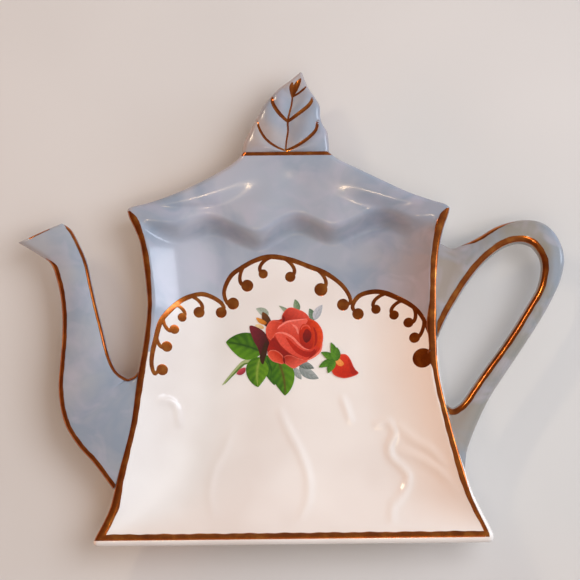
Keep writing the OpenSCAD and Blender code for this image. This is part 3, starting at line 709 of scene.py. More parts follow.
def make_dish():
    """The coved dish with its lid, as one closed porcelain shell."""
    x, y = dish_grid()
    plan = np.stack([x, y], -1)
    piece = slab("dish_porcelain", lifted(plan, dish_z(x, y) + relief(x, y)), lifted(plan, under_z(x, y)),
        porcelain)
    line = piece.data.attributes.new("lustre_line", "FLOAT", "POINT")
    under = np.full(x.size, -1.0)
    line.data.foreach_set("value", np.concatenate([lustre_height(x, y).ravel(), under]) * MM)
    return piece


dish = make_dish()
hand_over(dish, "porcelain", "dish")


# Spout, handle and leaf
PLATE_COLS = 28
PER_RIB = 8
# Closer rows at the spout's rounded tip
TIP_TS = [0, 0.01, 0.03, 0.06, 0.09]
LEAF_COLS = 56
BAND_ROWS = 16


def make_plate(name, ribs, c, tip):
    """A flat plate with rounded edges, lofted along its ribs and run into the body's side at its seams."""
    last = len(ribs) - 1
    ts = np.linspace(0, last, last * PER_RIB + 1)
    if tip:
        ts = np.concatenate([TIP_TS, ts[1:]])
    t, w = np.meshgrid(ts, spread(PLATE_COLS), indexing="ij")
    top, under = plate_points(ribs, t, w, tip)
    for points in (top, under):
        for row in [-1] if tip else [0, -1]:
            points[row, :, 0] = inside_x(points[row, :, 1], c, SEAM_IN)
    return slab(name, top, under, lustre)


hand_over(make_plate("spout_porcelain", SPOUT_RIBS, 1, True), "lustre", "spout")
hand_over(make_plate("handle_porcelain", HANDLE_RIBS, 2, False), "lustre", "handle")


def make_leaf():
    """The leaf finial; its rows follow the lines of its veins."""
    w = spread(LEAF_COLS)
    out = np.abs(2 * w - 1)
    rows = [np.zeros_like(w) - LEAF_SEAM / LEAF_L]
    for low, high in leaf_bands(out):
        rows += [between(low, high, i / BAND_ROWS) for i in range(BAND_ROWS)]
    rows.append(np.ones_like(w))
    plan = leaf_xy(np.array(rows), np.broadcast_to(w, (len(rows), len(w))))
    x, y = plan[..., 0], plan[..., 1]
    room = np.minimum(x - leaf_x(y, 1), leaf_x(y, 2) - x)
    return slab("leaf_porcelain", lifted(plan, leaf_z(x, y)),
        lifted(plan, PLATE_Z - PLATE_T + edge_fall(room)), lustre)


leaf = make_leaf()
hand_over(leaf, "lustre", "leaf_finial")


# Gold bands along the edges: thin crowned strips, with the slight waver of a brush
BAND_COLS = 8
BAND_LIFT = 0.05
BAND_CROWN = 0.015
BAND_SINK = 0.06
EDGE_START = 0.12
WAVER = 0.04
WAVER_MM = [9.0, 3.7]
BRUSH_TIP = 0.1


def brush_waver(length, phase):
    """How much wider or narrower the brush drew a line at each place along it."""
    waves = [np.sin(2 * np.pi * length / size + phase * (k + 1)) for k, size in enumerate(WAVER_MM)]
    return 1 + WAVER * sum(waves) / len(waves)


def gold_band(name, stands_for, *grids):
    """A gold line from one or more grids of points on the porcelain, whose columns run across the line."""
    points, faces = [], []
    for grid in grids:
        share = np.linspace(-1, 1, grid.shape[1])
        up = np.array([0, 0, 1.0]) * (BAND_LIFT + BAND_CROWN * (1 - share ** 4))[None, :, None]
        faces += slab_faces(*grid.shape[:2], start=sum(map(len, points)))
        points.append(slab_points(grid + up, grid - np.array([0, 0, BAND_SINK])))
    hand_over(mesh_piece(name, np.concatenate(points), faces, gold), "gold", stands_for)


def on_dish(x, y):
    """Points on the dish."""
    return np.stack([x, y, dish_z(x, y)], -1)


RIM_STEPS = 160
# Where the gold on each side's rim starts and ends, in from the edge: share up the plan, start, end
LEFT_RIM = np.array([
    [-0.5, 0.15, 2.3], [-0.42, 0.12, 2.1], [-0.36, 0.12, 1.7], [-0.15, 0.12, 1.6], [-0.07, 0.12, 1.35],
    [0.01, 0.12, 1.1], [0.09, 0.12, 1.5], [0.14, 0.12, 1.4], [0.19, 0.12, 1.75], [0.205, 0.12, 0.6]])
RIGHT_RIM = np.array([
    [-0.5, 1, 1.9], [-0.42, 0.85, 1.9], [-0.35, 0.35, 1.8], [-0.2, 0.3, 1.55], [-0.135, 0.3, 1.6],
    [-0.112, 0.3, 2.6], [-0.09, 0.25, 1.9], [-0.06, 0.25, 2.2], [-0.035, 0.25, 2.4], [-0.01, 0.2, 1.95],
    [0.02, 0.2, 1.7], [0.13, 0.2, 1.75], [0.19, 0.12, 1.9], [0.205, 0.12, 0.6]])
# White lip left below the gold of the base rim, and how far in that gold reaches
BASE_LIP = 1.15
BASE_LINE_W = 2.5
rim_y = np.linspace(BASE_Y + BASE_LIP, SHOULDER_Y - EDGE_START, RIM_STEPS)
across = np.linspace(0, 1, BAND_COLS + 1)


def rim_band(c, drawn, phase):
    """Gold on one side's rim, from the base to the shoulder."""
    start, end = (rib_value(drawn, rim_y / OVERALL_L, k)[:, None] for k in (1, 2))
    inset = between(start, end * brush_waver(rim_y, phase)[:, None], across)
    y = np.broadcast_to(rim_y[:, None], inset.shape)
    return on_dish(inside_x(y, c, inset), y)


gold_band("left_rim_line", "left_rim_gold", rim_band(1, LEFT_RIM, phase=0.4))
gold_band("right_rim_line", "right_rim_gold", rim_band(2, RIGHT_RIM, phase=1.9))


def base_band(phase):
    """Gold along the base rim, between the side lines."""
    left, right = (field_x(BASE_Y, c, -RIM_LINE_W / 2) for c in (1, 2))
    x = np.linspace(left, right, RIM_STEPS)
    width = BASE_LINE_W * brush_waver(x, phase)
    y = BASE_Y + between(BASE_LIP, width[:, None], across)
    return on_dish(np.broadcast_to(x[:, None], y.shape), y)


gold_band("base_rim_line", "base_rim_gold", base_band(phase=2.6))


def plate_band(ribs, c, end, first, last, width, phase, start=EDGE_START, ends=(0, 0)):
    """Gold along one edge of a plate between two ribs, drawn square in from it and stopped at the body; ends
    gives the ribs over which it swells from its first point and thins to its last."""
    ts = np.linspace(first, last, RIM_STEPS)
    drawn = width * brush_waver(ts * OVERALL_L / len(ribs), phase)
    for way_in, run in ((ts - ts[0], ends[0]), (ts[-1] - ts, ends[1])):
        if run:
            drawn = between(start, drawn, between(BRUSH_TIP, 1, ease(way_in / run)))
    inset = between(start, drawn[:, None], across)
    rib = run_at(ribs, ts) * PLAN
    edge, other = (rib[:, 2:], rib[:, :2]) if end else (rib[:, :2], rib[:, 2:])
    inward = square_to(edge_way(ribs, ts, end))
    inward *= np.sign(np.sum(inward * (other - edge), axis=1))[:, None]
    plan = edge[:, None] + inward[:, None] * inset[..., None]
    side = body_x(plan[..., 1], c)
    plan[..., 0] = np.minimum(plan[..., 0], side) if c == 1 else np.maximum(plan[..., 0], side)
    share = inset / square_l(ribs, ts, end)[:, None]
    return lifted(plan, PLATE_Z + PLATE_SWELL * np.sin(np.pi * share) - edge_fall(inset))


def tip_band(low, high, start, end):
    """Thin gold line along the edge of the spout's tip."""
    w, inset = np.meshgrid(np.linspace(low, high, RIM_STEPS), between(start, end, across), indexing="ij")
    span = np.linalg.norm(np.diff(SPOUT_RIBS[:2, :2] * PLAN[:2], axis=0))
    return plate_points(SPOUT_RIBS, inset / span, w, True)[0]


# Near a seam a line stops this share of a rib short
SEAM_RIBS = 0.1
SPOUT_END = len(SPOUT_RIBS) - 1 - SEAM_RIBS
HANDLE_END = len(HANDLE_RIBS) - 1 - SEAM_RIBS
gold_band(
    "spout_edge_lines", "spout_edge_gold",
    plate_band(SPOUT_RIBS, 1, 0, first=0.35, last=SPOUT_END, width=NECK_LINE_W, phase=0.7, ends=(0.5, 0)),
    plate_band(SPOUT_RIBS, 1, 1, first=1.5, last=SPOUT_END, width=EDGE_LINE_W, phase=2.1, ends=(1, 0)),
    tip_band(low=0.3, high=0.78, start=0.2, end=0.5))
gold_band("handle_loop_line", "handle_loop_gold", plate_band(
    HANDLE_RIBS, 2, 1, first=SEAM_RIBS, last=HANDLE_END, width=LOOP_LINE_W, phase=1.3, start=0.3))
gold_band("handle_edge_line", "handle_edge_gold", plate_band(
    HANDLE_RIBS, 2, 0, first=1.7, last=5.2, width=CREST_LINE_W, phase=2.9, ends=(1, 1.5)))


def finial_band():
    """Gold on the lid under the leaf."""
    y = np.broadcast_to((LID_Y - FINIAL_LINE_W * (1 - across))[None, :], (RIM_STEPS, BAND_COLS + 1))
    share = np.linspace(0, 1, RIM_STEPS)[:, None]
    left, right = (inside_x(y, c, 2 * EDGE_START) for c in (1, 2))
    return on_dish(between(left, right, share), y)


gold_band("finial_base_line", "finial_base_gold", finial_band())


# Draped gold: drawn lines and drops are given thickness and laid on the porcelain under them
DRAPE_FROM = 60.0 * MM
GOLD_CROWN = 0.035


def draped_gold_tree():
    """Geometry Nodes: lines become flat beads of their own width, marked points become drops, and all of it
    is let down onto the clay."""
    tree = bpy.data.node_groups.new("draped_gold", "GeometryNodeTree")
    for title, way, kind in (
            ("Lines", "INPUT", "Geometry"), ("Clay", "INPUT", "Object"), ("Crown", "INPUT", "Float"),
            ("Gold", "INPUT", "Material"), ("Gold work", "OUTPUT", "Geometry")):
        tree.interface.new_socket(title, in_out=way, socket_type="NodeSocket" + kind)
    add = partial(node, tree)
    given = add("NodeGroupInput").outputs
    half_w = add("GeometryNodeInputNamedAttribute", {"Name": "half_w"}, data_type="FLOAT")
    drop_r = add("GeometryNodeInputNamedAttribute", {"Name": "drop_r"}, data_type="FLOAT")
    course = add("GeometryNodeMeshToCurve", {"Mesh": given["Lines"]})
    upright = add("GeometryNodeSetCurveNormal", {"Curve": course}, mode="Z_UP")
    flat = add("ShaderNodeCombineXYZ", {"X": 1.0, "Y": given["Crown"], "Z": 1.0})
    ring = add("GeometryNodeCurvePrimitiveCircle", {"Resolution": 12, "Radius": 1.0})
    bead = add("GeometryNodeTransform", {"Geometry": ring, "Scale": flat})
    beads = add("GeometryNodeCurveToMesh", {
        "Curve": upright, "Profile Curve": bead, "Scale": half_w, "Fill Caps": True})
    low = add("ShaderNodeCombineXYZ", {"X": 1.0, "Y": 1.0, "Z": given["Crown"]})
    ball = add("GeometryNodeMeshUVSphere", {"Segments": 28, "Rings": 14, "Radius": 1.0})
    dome = add("GeometryNodeTransform", {"Geometry": ball, "Scale": low})
    marked = add("FunctionNodeCompare", {0: drop_r, 1: 0.0}, operation="GREATER_THAN")
    drops = add("GeometryNodeInstanceOnPoints", {
        "Points": given["Lines"], "Selection": marked, "Instance": dome, "Scale": drop_r})
    both = add("GeometryNodeJoinGeometry")
    for part in (add("GeometryNodeRealizeInstances", {"Geometry": drops}), beads):
        tree.links.new(part.outputs[0], both.inputs["Geometry"])
    clay = add("GeometryNodeObjectInfo", {"Object": given["Clay"]}, transform_space="RELATIVE")
    place = add("ShaderNodeSeparateXYZ", {"Vector": add("GeometryNodeInputPosition")}).outputs
    above = add("ShaderNodeCombineXYZ", {"X": place["X"], "Y": place["Y"], "Z": DRAPE_FROM})
    let_down = add("GeometryNodeRaycast", {
        "Target Geometry": clay.outputs["Geometry"], "Source Position": above, "Ray Direction": (0, 0, -1),
        "Ray Length": 2 * DRAPE_FROM}).outputs
    hit = add("ShaderNodeSeparateXYZ", {"Vector": let_down["Hit Position"]}).outputs
    height = add("ShaderNodeMath", {0: hit["Z"], 1: place["Z"]}, operation="ADD")
    landed = add("ShaderNodeCombineXYZ", {"X": place["X"], "Y": place["Y"], "Z": height})
    laid = add("GeometryNodeSetPosition", {
        "Geometry": both, "Selection": let_down["Is Hit"], "Position": landed})
    smooth = add("GeometryNodeSetShadeSmooth", {"Geometry": laid})
    whole = add("GeometryNodeRealizeInstances", {"Geometry": smooth})
    gilt = add("GeometryNodeSetMaterial", {"Geometry": whole, "Material": given["Gold"]})
    add("NodeGroupOutput", {"Gold work": gilt})
    return tree


draped_gold = draped_gold_tree()


def gold_work(name, stands_for, clay, lines, drops=()):
    """Gold lines, as plan points with half widths, and drops, as place and radius, laid on the clay."""
    points, edges, half = [], [], []
    for path, widths in lines:
        edges += [(len(points) + i, len(points) + i + 1) for i in range(len(path) - 1)]
        points += [(*p, 0) for p in path]
        half += list(widths)
    radius = [0.0] * len(points) + [size for place, size in drops]
    half += [0.0] * len(drops)
    points += [(*place, 0) for place, size in drops]
    mesh = bpy.data.meshes.new(name)
    mesh.from_pydata((np.array(points, float) * MM).tolist(), edges, [])
    for title, values in (("half_w", half), ("drop_r", radius)):
        mesh.attributes.new(title, "FLOAT", "POINT").data.foreach_set("value", np.array(values) * MM)
    piece = placed(name, mesh)
    modifier = piece.modifiers.new("draped_gold", "NODES")
    modifier.node_group = draped_gold
    keys = {item.name: item.identifier for item in draped_gold.interface.items_tree if item.in_out == "INPUT"}
    for title, value in (("Clay", clay), ("Crown", GOLD_CROWN), ("Gold", gold)):
        modifier[keys[title]] = value
    depsgraph = bpy.context.evaluated_depsgraph_get()
    made = bpy.data.meshes.new_from_object(piece.evaluated_get(depsgraph))
    piece.modifiers.clear()
    piece.data = made
    made.name = name
    hand_over(piece, "gold", stands_for)


# Shares of the full width that the lines keep at their ends
ARCH_TAPER = 0.66
VEIN_TAPER = 0.8
ARCH_PER_SPAN = 10
CURL_STEPS = 24
# A curl's two handles: share along the chord from its arch to its drop, and share out from it
CURL_LEAVES = [0.2, 0.3]
CURL_TURNS = [1.0, 0.56]
# A curl's share of the arch's width where it leaves it, and what it gains up to its drop
CURL_THIN = 0.68
CURL_GAIN = 0.12


def arch_at(shares, t):
    """Points along an arch, at shares of its run."""
    return field_xy(run_at(shares, np.asarray(t) * (len(shares) - 1)), SCROLL_W / 2)


def drop_at(u, v, size):
    """A drop of the scroll: its centre and radius."""
    radius = DROP_D * size / 2
    return field_xy([u, v], radius), radius


def arch_line(shares):
    """An arch with half widths that taper to its ends."""
    t = np.linspace(0, 1, (len(shares) - 1) * ARCH_PER_SPAN + 1)
    taper = between(ARCH_TAPER, 1, np.sin(np.pi * t))
    path = arch_at(shares, t)
    return path, SCROLL_LINE_W / 2 * taper * brush_waver(path[:, 0], len(shares))


def curl_line(shares, start, bulge, *drop):
    """A curl that leaves its arch, bulges to one side and ends in its drop."""
    centre, _ = drop_at(*drop)
    a = arch_at(shares, start)
    chord = centre - a
    out = np.array([chord[1], -chord[0]]) * bulge
    b, c = (a + chord * along + out * off for along, off in (CURL_LEAVES, CURL_TURNS))
    t = np.linspace(0, 1, CURL_STEPS)[:, None]
    path = a * (1 - t) ** 3 + b * 3 * t * (1 - t) ** 2 + c * 3 * t ** 2 * (1 - t) + centre * t ** 3
    return path, SCROLL_LINE_W / 2 * (CURL_THIN + CURL_GAIN * t[:, 0])


for side, (arch, drops, curls) in SCROLL.items():
    gold_work(side + "_arch", side + "_arch_gold", dish, [arch_line(arch)])
    gold_work(side + "_curls", side + "_curl_gold", dish, [curl_line(arch, *row) for row in curls],
        [drop_at(*row) for row in drops] + [drop_at(*row[2:]) for row in curls])


# Gold on the leaf: line, side, reach and width of each vein; start, end and width of the midrib
VEINS = [[1, -1, 0.92, 0.6], [1, 1, 0.92, 0.8], [2, -1, 0.92, 0.85], [2, 1, 0.9, 0.85], [3, 1, 0.86, 0.5]]
MIDRIB = [0.02, 0.7, 0.45]
# Strokes of the patch below the tip, as places up and across the leaf with half widths
PATCH_STROKES = [
    [[0.68, 0.5, 0.2], [0.76, 0.46, 0.45], [0.82, 0.4, 0.45], [0.87, 0.33, 0.2]],
    [[0.7, 0.5, 0.2], [0.77, 0.54, 0.6], [0.83, 0.58, 0.65], [0.88, 0.64, 0.45], [0.92, 0.72, 0.12]]]


def vein_lines():
    """The leaf's gold midrib, veins and the strokes below its tip."""
    t = np.linspace(0, 1, CURL_STEPS)
    taper = between(VEIN_TAPER, 1, np.sin(np.pi * t))
    low, high, width = MIDRIB
    lines = [(leaf_xy(between(low, high, t), np.full_like(t, 0.5)), width / 2 * taper)]
    for k, side, reach, width in VEINS:
        out = reach * t
        lines.append((leaf_xy(vein_at(VEIN_LINES[k], out), 0.5 + side * out / 2), width / 2 * taper))
    for stroke in PATCH_STROKES:
        v, w, half = run_at(stroke, t * (len(stroke) - 1)).T
        lines.append((leaf_xy(v, w), half))
    return lines


gold_work("leaf_veins", "leaf_vein_gold", leaf, vein_lines())


# Rose spray: patches of ink round the bloom's middle, laid one over the next in thin steps. Their
# places are x and y in tenths of a millimetre
ROSE_AT = np.array([0.005 * OVERALL_W, -0.065 * OVERALL_L])
INK_LIFT = 0.03
INK_STEP = 0.006
PATCH_STEPS = 48
# The tinted rim of a patch is this wide at most, half of the room in its narrow parts, and has this much
# tint; only edges that lie ahead by more than the last take up room
PATCH_RIM = 0.6
PATCH_SHARE = 0.5
RIM_TINT = 0.65
PATCH_AHEAD = 1e-6
# Points to each drawn one of a stroke, the share of its width at its ends, and the power of its fullness
STROKE_STEPS = 6
STROKE_END = 0.12
STROKE_FULL = 0.7
# A printed leaf: its rows and columns, its ends, the powers that set its widest place and its fullness, its
# side veins with their slant and depth, and the midrib
INK_LEAF_ROWS = 36
INK_LEAF_COLS = 16
INK_LEAF_END = 0.03
INK_LEAF_WIDEST = 0.8
INK_LEAF_FULL = 0.75
SIDE_VEINS = 4.5
VEIN_SLANT = 1.2
VEIN_DEPTH = 0.25
MIDRIB_SHARE = 0.11


class Print:
    """Patches of ink that become one piece. The layer counts up over the whole spray."""
    layer = 0

    def __init__(self):
        self.points, self.faces, self.inks = [], [], []

    def height(self):
        """Height of the next layer."""
        Print.layer += 1
        return FLOOR_Z + INK_LIFT + INK_STEP * Print.layer

    def add(self, points, faces, inks):
        """Takes up points, faces counted from the first of them, and the ink at each point."""
        self.faces += [np.asarray(face) + len(self.points) for face in faces]
        self.points += list(points)
        self.inks += list(inks)

    def patch(self, outline, dark, light, heading, rim=None):
        """A closed outline, shaded from dark to light towards a heading in degrees, with a tinted rim."""
        outline = pairs(outline, 10)
        closed = np.concatenate([outline[-1:], outline, outline[:2]])
        loop = run_at(closed, 1 + np.linspace(0, len(outline), PATCH_STEPS, endpoint=False))
        after = np.roll(loop, -1, axis=0)
        if np.sum(loop[:, 0] * after[:, 1] - loop[:, 1] * after[:, 0]) < 0:
            loop = loop[::-1]
        inward = square_to(np.roll(loop, -1, axis=0) - np.roll(loop, 1, axis=0))
        to = loop[None] - loop[:, None]
        ahead = np.maximum(PATCH_AHEAD, np.einsum("ijk,ik->ij", to, inward))
        radii = np.sum(to ** 2, axis=2) / (2 * ahead)
        room = np.min(radii, axis=1, where=ahead > PATCH_AHEAD, initial=PATCH_RIM)
        top = np.concatenate([loop, loop + inward * (PATCH_SHARE * room)[:, None]])
        heading = math.radians(heading)
        reach = top @ np.array([math.cos(heading), math.sin(heading)])
        share = held(share_of(reach, reach.min(), reach.max()))[:, None]
        inks = between(linear(dark), linear(light), share)
        if rim:
            inks[:PATCH_STEPS] = between(inks[:PATCH_STEPS], linear(rim), RIM_TINT)
        outer, inner, low = np.arange(3 * PATCH_STEPS).reshape(3, -1)
        faces = [inner, low[::-1]]
        for a, b in ((outer, inner), (low, outer)):
            faces += list(np.stack([a, np.roll(a, -1), np.roll(b, -1), b], -1))
        plan = np.concatenate([top, loop]) + ROSE_AT
        height = np.full(len(plan), FLOOR_Z - INK_LIFT)
        height[:len(top)] = self.height()
        self.add(lifted(plan, height), faces, np.concatenate([inks, inks[:PATCH_STEPS]]))

    def strip(self, path, half, ink_at, cols=2):
        """A strip along a path with half widths; ink_at gives the colour along and across it."""
        share = np.linspace(-1, 1, cols + 1)[::-1]
        square = square_to(np.gradient(path, axis=0))
        plan = path[:, None] + square[:, None] * (half[:, None] * share)[..., None] + ROSE_AT
        points = [lifted(plan, z).reshape(-1, 3) for z in (self.height(), FLOOR_Z - INK_LIFT)]
        inks = ink_at(*np.meshgrid(np.linspace(0, 1, len(path)), share, indexing="ij")).reshape(-1, 4)
        self.add(np.concatenate(points), slab_faces(len(path), cols + 1), np.concatenate([inks, inks]))

    def stroke(self, course, width, code):
        """A brush stroke of one colour, thin at both ends."""
        course = pairs(course, 10)
        t = np.linspace(0, len(course) - 1, STROKE_STEPS * len(course))
        half = width / 2 * np.maximum(STROKE_END, np.sin(np.pi * t / t[-1]) ** STROKE_FULL)
        self.strip(run_at(course, t), half, lambda a, b: np.broadcast_to(linear(code), (*a.shape, 4)))

    def leaf(self, root, tip, bend, width, dark, light, vein):
        """A rose leaf: one half darker, with a midrib and side veins."""
        root, tip = pairs([*root, *tip], 10)
        t = np.linspace(0, 1, INK_LEAF_ROWS)
        way = tip - root
        knee = (root + tip) / 2 + np.array([way[1], -way[0]]) * bend
        path = root * ((1 - t) ** 2)[:, None] + knee * (2 * t * (1 - t))[:, None] + tip * (t ** 2)[:, None]
        full = np.sin(np.pi * t ** INK_LEAF_WIDEST) ** INK_LEAF_FULL
        half = width / 2 * np.maximum(INK_LEAF_END, full)
        deep, pale, rib = map(linear, (dark, light, vein))

        def ink_at(a, b):
            waves = np.sin(2 * np.pi * (SIDE_VEINS * a - VEIN_SLANT * np.abs(b)))
            lit = held(0.5 + 0.5 * b + VEIN_DEPTH * waves)[..., None]
            line = np.exp(-(b / MIDRIB_SHARE) ** 2)[..., None]
            return between(between(deep, pale, lit), rib, line)

        self.strip(path, half, ink_at, cols=INK_LEAF_COLS)

    def piece(self, name, material, slot, *nodes):
        """Hands the print over as one piece, with its ink as a colour at each point."""
        made = mesh_piece(name, self.points, self.faces, material)
        ink = made.data.attributes.new("ink", "FLOAT_COLOR", "POINT")
        ink.data.foreach_set("color", np.array(self.inks).ravel())
        hand_over(made, slot, *nodes)


# Leaves have root, tip, bend, width and the colours of dark half, light half and veins; strokes have course,
# width and colour; patches have outline, dark, light, heading of the light and, for some, the rim's tint.
# Grey shadow leaves behind the bloom come first, then the stem and the green leaves
GREY_LEAVES = [
    ([-58, 53], [-85, 68], 0.1, 1.7, "#98A290", "#B4BCAE", "#8E9A88"),
    ([6, 60], [1, 88], 0.1, 1.5, "#5F7A54", "#8FA283", "#6A8460"),
    ([42, 40], [33, 67], 0.1, 1.6, "#4F6E50", "#7C927C", "#5C7A5C"),
    ([44, 42], [62, 75], -0.1, 1.7, "#A9AEB4", "#C9C8CE", "#A2A8AE"),
    ([10, -62], [52, -88], 0.12, 2.2, "#7F8A88", "#A3AAA8", "#8A9290"),
    ([6, -56], [42, -66], -0.1, 1.6, "#58665C", "#8A9290", "#6C7870"),
    ([0, -64], [14, -90], 0.1, 1.4, "#8C9490", "#AAB0AC", "#8C9490")]
STEMS = [
    ([-86, -46, -110, -50, -129, -67, -161, -101], 1, "#A3B078"),
    ([-92, -52, -112, -55, -131, -72, -156, -99], 0.4, "#5E7A34")]
GREEN_LEAVES = [
    ([-72, -29], [-152, -6], 0.1, 6, "#2F5A0C", "#5A8A1C", "#23440A"),
    ([-64, -36], [-46, -102], -0.08, 3.4, "#2E5A10", "#4A7A1A", "#23480C"),
    ([-76, -40], [-82, -106], 0.15, 5, "#3E6A10", "#64901E", "#8AA040"),
    ([-39, -46], [-23, -125], -0.14, 5, "#34620F", "#5A8A1A", "#5A4A14"),
    ([12, 30], [-34, 74], 0.1, 1.4, "#7E8E74", "#A0AC96", "#84927A")]
# Dark bud and brown sepals beside the bloom
DARK_BUD = [
    ([-100, 29, -82, 26, -65, 13, -56, -8, -63, -29, -74, -42, -82, -20, -92, -1], "#341006", "#7A2430", 160)]
BUD_STALK = [([-64, -6, -67, -26, -72, -42, -71, -56], 1.3, "#3A1E0A")]
SEPALS = [
    ([-71, 60, -58, 52, -52, 37, -62, 28, -71, 39], "#3E1C08", "#6E4018", 120),
    ([-85, 48, -73, 45, -62, 37, -67, 32, -79, 37], "#B86420", "#E09A48", 150),
    ([-87, 32, -77, 33, -68, 27, -71, 23, -82, 26], "#D8A870", "#F0D8A8", 150),
    ([-110, -63, -122, -66, -129, -76, -120, -79, -111, -73], "#8E2838", "#C85058", 120)]
# Petals from the back to the front
PETALS = [
    ([-62, 5, -64, 19, -59, 34, -49, 42, -28, 44, -20, 62, -8, 68, 9, 64, 31, 47, 46, 38, 58, 23, 62, 4, 59,
        -14, 54, -27, 42, -38, 28, -48, 10, -58, -3, -65, -16, -58, -26, -54, -39, -52, -51, -47, -60, -35,
        -60, -26, -56, -9], "#A02010", "#C23622", 60),
    ([-49, 42, -35, 39, -25, 36, -35, 24, -43, 10, -51, -2, -59, 3, -64, 19, -59, 34], "#C03422", "#E05C48",
        170, "#E87866"),
    ([-28, 50, -20, 64, -8, 70, 9, 65, 22, 59, 32, 48, 27, 41, 9, 41, -16, 38, -25, 37], "#8E1204", "#E05646",
        55, "#E46A5A"),
    ([27, 43, 46, 39, 59, 23, 63, 4, 60, -14, 55, -27, 42, -38, 31, -34, 24, -16, 20, 7, 18, 28], "#A81C0A",
        "#E2502F", 10, "#E2624C"),
    ([-44, 12, -33, 28, -16, 38, 8, 42, 28, 43, 25, 33, 13, 25, 11, 7, 13, -11, -3, 1, -21, 10, -35, 13],
        "#C63626", "#EA6A5A", 75),
    ([-47, 3, -38, -7, -28, -21, -12, -33, -3, -41, -17, -44, -26, -39, -40, -27, -56, -28, -61, -26, -56,
        -9], "#7A0800", "#A41A0A", 200),
    ([-55, -25, -40, -26, -26, -39, -26, -55, -39, -53, -51, -48, -60, -35], "#B42A14", "#E25E46", 225,
        "#E88A76"),
    ([-23, -39, -10, -36, 8, -43, 28, -49, 19, -54, 10, -59, -3, -66, -16, -59, -22, -53], "#A01E0C",
        "#E46452", 300, "#E87A68"),
    ([-44, 10, -35, 13, -21, 12, -5, 3, 7, -11, 22, -21, 37, -23, 47, -16, 57, -25, 44, -38, 28, -48, 8, -42,
        -12, -31, -30, -15, -39, -1], "#C83828", "#E25A4A", 200),
    ([-20, 3, -10, -3, 4, -17, 20, -27, 37, -28, 44, -23, 41, -34, 26, -41, 8, -34, -5, -22], "#A01505",
        "#C2301C", 150),
    ([20, 33, 34, 27, 39, 14, 41, -4, 38, -19, 25, -24, 14, -13, 10, 5, 12, 23], "#A01808", "#CC3A22", 60),
    ([25, 21, 34, 17, 37, 7, 33, -4, 25, -9, 19, -2, 18, 9], "#5E0500", "#8E1002", 90)]
# Light rims and dark folds drawn over the petals
FOLDS = [
    ([-44, 11, -35, 14, -21, 12, -5, 3, 7, -10, 20, -21, 32, -25], 0.5, "#F08070"),
    ([-38, 22, -33, 28, -16, 38, 8, 42, 28, 44], 0.4, "#F7887A"),
    ([-26, 52, -24, 44, -25, 37], 0.6, "#7A0A00"),
    ([29, -45, 41, -35, 48, -24], 0.45, "#9C1405"),
    ([24, -49, 42, -40, 56, -27, 61, -10], 0.45, "#EE7866"),
    ([13, 19, 19, 28, 29, 29, 36, 20], 0.4, "#E05A46"),
    ([42, 26, 47, 10, 47, -6, 43, -18], 0.5, "#A81C0A"),
    ([-25, -39, -24, -48, -23, -54], 0.5, "#7A0A00"),
    ([-6, 32, 4, 24, 8, 10], 0.5, "#F08272")]
# Bud at the right with its sepals
RIGHT_BUD = [
    ([83, -50, 96, -37, 113, -36, 123, -48, 131, -67, 140, -78, 123, -86, 104, -88, 85, -80, 80, -65],
        "#B82616", "#DC4430", 110, "#E06858"),
    ([118, -45, 127, -60, 136, -76, 126, -80, 120, -64], "#A01A0C", "#C4301E", 140),
    ([89, -46, 99, -46, 108, -56, 102, -62, 93, -58], "#E88A44", "#F4A860", 120)]
BUD_SEPALS = [
    ([89, -50], tip, 0.12, 1.6, "#3A6A18", "#5C902A", "#4A7A22")
    for tip in ([58, -31], [80, -9], [53, -64], [73, -77], [93, -20])]

foliage, bloom, buds = Print(), Print(), Print()
for draw, rows in (
        (foliage.leaf, GREY_LEAVES), (foliage.stroke, STEMS), (foliage.leaf, GREEN_LEAVES),
        (buds.patch, DARK_BUD), (buds.stroke, BUD_STALK), (buds.patch, SEPALS), (bloom.patch, PETALS),
        (bloom.stroke, FOLDS), (buds.patch, RIGHT_BUD), (foliage.leaf, BUD_SEPALS)):
    for row in rows:
        draw(*row)
foliage.piece("rose_leaves_and_stem", leaf_ink, "leaf_green", "foliage_transfer")
bloom.piece("rose_bloom", rose_ink, "rose_red", "rose_transfer")
buds.piece("rose_buds", rose_ink, "rose_red", "bud_transfer")

# The foot ring keeps its solid
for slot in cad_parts["foot_ring"].material_slots:
    slot.material = bare_bisque()


# Floor, light and camera
TABLE_HALF = 900.0
MIDDLE = Vector((0, 0, FLOOR_Z * MM))


def pale_floor():
    """Plain pale table top under the rest."""
    material, add, place = new_material("pale_table_top")
    shade = add("ShaderNodeTexNoise", {"Vector": place, "Scale": per_mm(TABLE_MM)})
    tone = colour_stops(add("ShaderNodeValToRGB", {"Fac": shade}), [(0.3, "#D2D1CF"), (0.7, "#D8D7D5")])
    finished(material, {"Base Color": tone, "Roughness": 0.7})
    corners = np.array([(-1, -1, 0), (1, -1, 0), (1, 1, 0), (-1, 1, 0)]) * TABLE_HALF
    floor = mesh_piece("table_top", corners, [(0, 1, 2, 3)], material)


pale_floor()


def soft_light(name, turn, rise, distance, width, height, watts, code, mirrored):
    """An area light round the rest: turn from +X and rise in degrees, sizes in millimetres. The large fill
    lights aren't mirrored in the glaze."""
    data = bpy.data.lights.new(name, "AREA")
    data.shape = "RECTANGLE"
    data.size, data.size_y = width * MM, height * MM
    data.energy = watts
    data.color = linear(code)[:3]
    lamp = placed(name, data)
    lamp.visible_glossy = mirrored
    a, e = math.radians(turn), math.radians(rise)
    way = Vector((math.cos(a) * math.cos(e), math.sin(a) * math.cos(e), math.sin(e)))
    lamp.location = MIDDLE + way * distance * MM
    lamp.rotation_euler = way.to_track_quat("Z", "Y").to_euler()


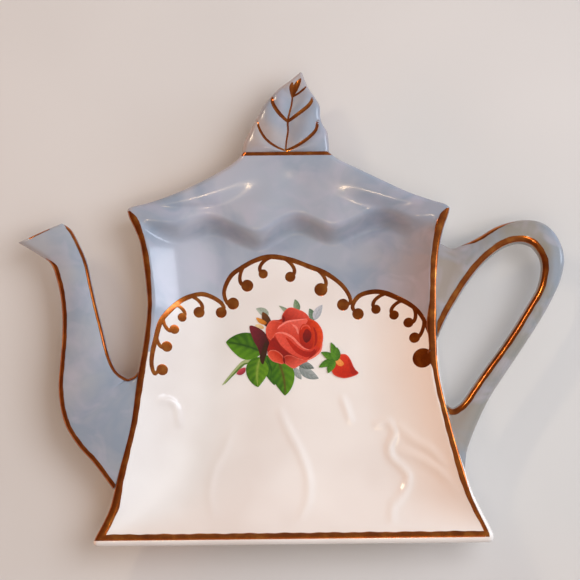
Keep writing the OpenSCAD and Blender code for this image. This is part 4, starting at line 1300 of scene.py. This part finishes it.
for row in (
        ("window_right", 12, 18, 600, 180, 277, 0.8, "#E6EEFF", True),
        ("sky_right", 12, 60, 460, 300, 300, 1.08, "#FBFBFF", False),
        ("front_soft", -70, 66, 700, 320, 320, 0.3, "#F2F4FF", False),
        ("warm_left", 176, 14, 600, 500, 220, 1.2, "#FF9A4A", False),
        ("lamp_right", -72, 75, 620, 30, 30, 0.11, "#FFDDB0", True),
        ("lamp_left", -110, 72, 620, 30, 30, 0.11, "#FFDDB0", True),
        ("lamp_back", 139, 40, 620, 130, 36, 0.49, "#FFE8C8", True)):
    soft_light(*row)


def dim_room():
    """A room that is warm and dark on the left and pale towards the window."""
    world = bpy.data.worlds.new("dim_room")
    add = emptied(world)
    way = add("ShaderNodeTexCoord").outputs["Generated"]
    compass = add("ShaderNodeSeparateXYZ", {"Vector": way})
    turned = add("ShaderNodeMapRange", {"Value": compass, "From Min": -1.0})
    walls = colour_stops(add("ShaderNodeValToRGB", {"Fac": turned}), [
        (0, "#AA7D58"), (0.38, "#B5A9A0"), (0.62, "#DFDFE2"), (1, "#E4E8F0")])
    glow = add("ShaderNodeBackground", {"Color": walls, "Strength": 0.6})
    add("ShaderNodeOutputWorld", {"Surface": glow})
    return world


bpy.context.scene.world = dim_room()

# Camera almost straight above, as it was read from the photograph's outline
CAMERA_TILT = math.radians(6.55)
CAMERA_ROLL = math.radians(-0.6)
CAMERA_DISTANCE = 520.0
CAMERA_TARGET = Vector((-0.34, 3.66, 9.4))
eye = bpy.data.cameras.new("eye")
eye.lens = 146.69
eye.sensor_width = 36.0
eye.clip_start, eye.clip_end = 0.01, 10.0
camera = placed("eye", eye)
turned = Matrix.Rotation(CAMERA_TILT, 4, "X") @ Matrix.Rotation(CAMERA_ROLL, 4, "Z")
camera.matrix_world = Matrix.Translation(CAMERA_TARGET * MM) @ turned @ Matrix.Translation(
    (0, 0, CAMERA_DISTANCE * MM))
bpy.context.scene.camera = camera
bpy.context.scene.view_settings.view_transform = "Standard"
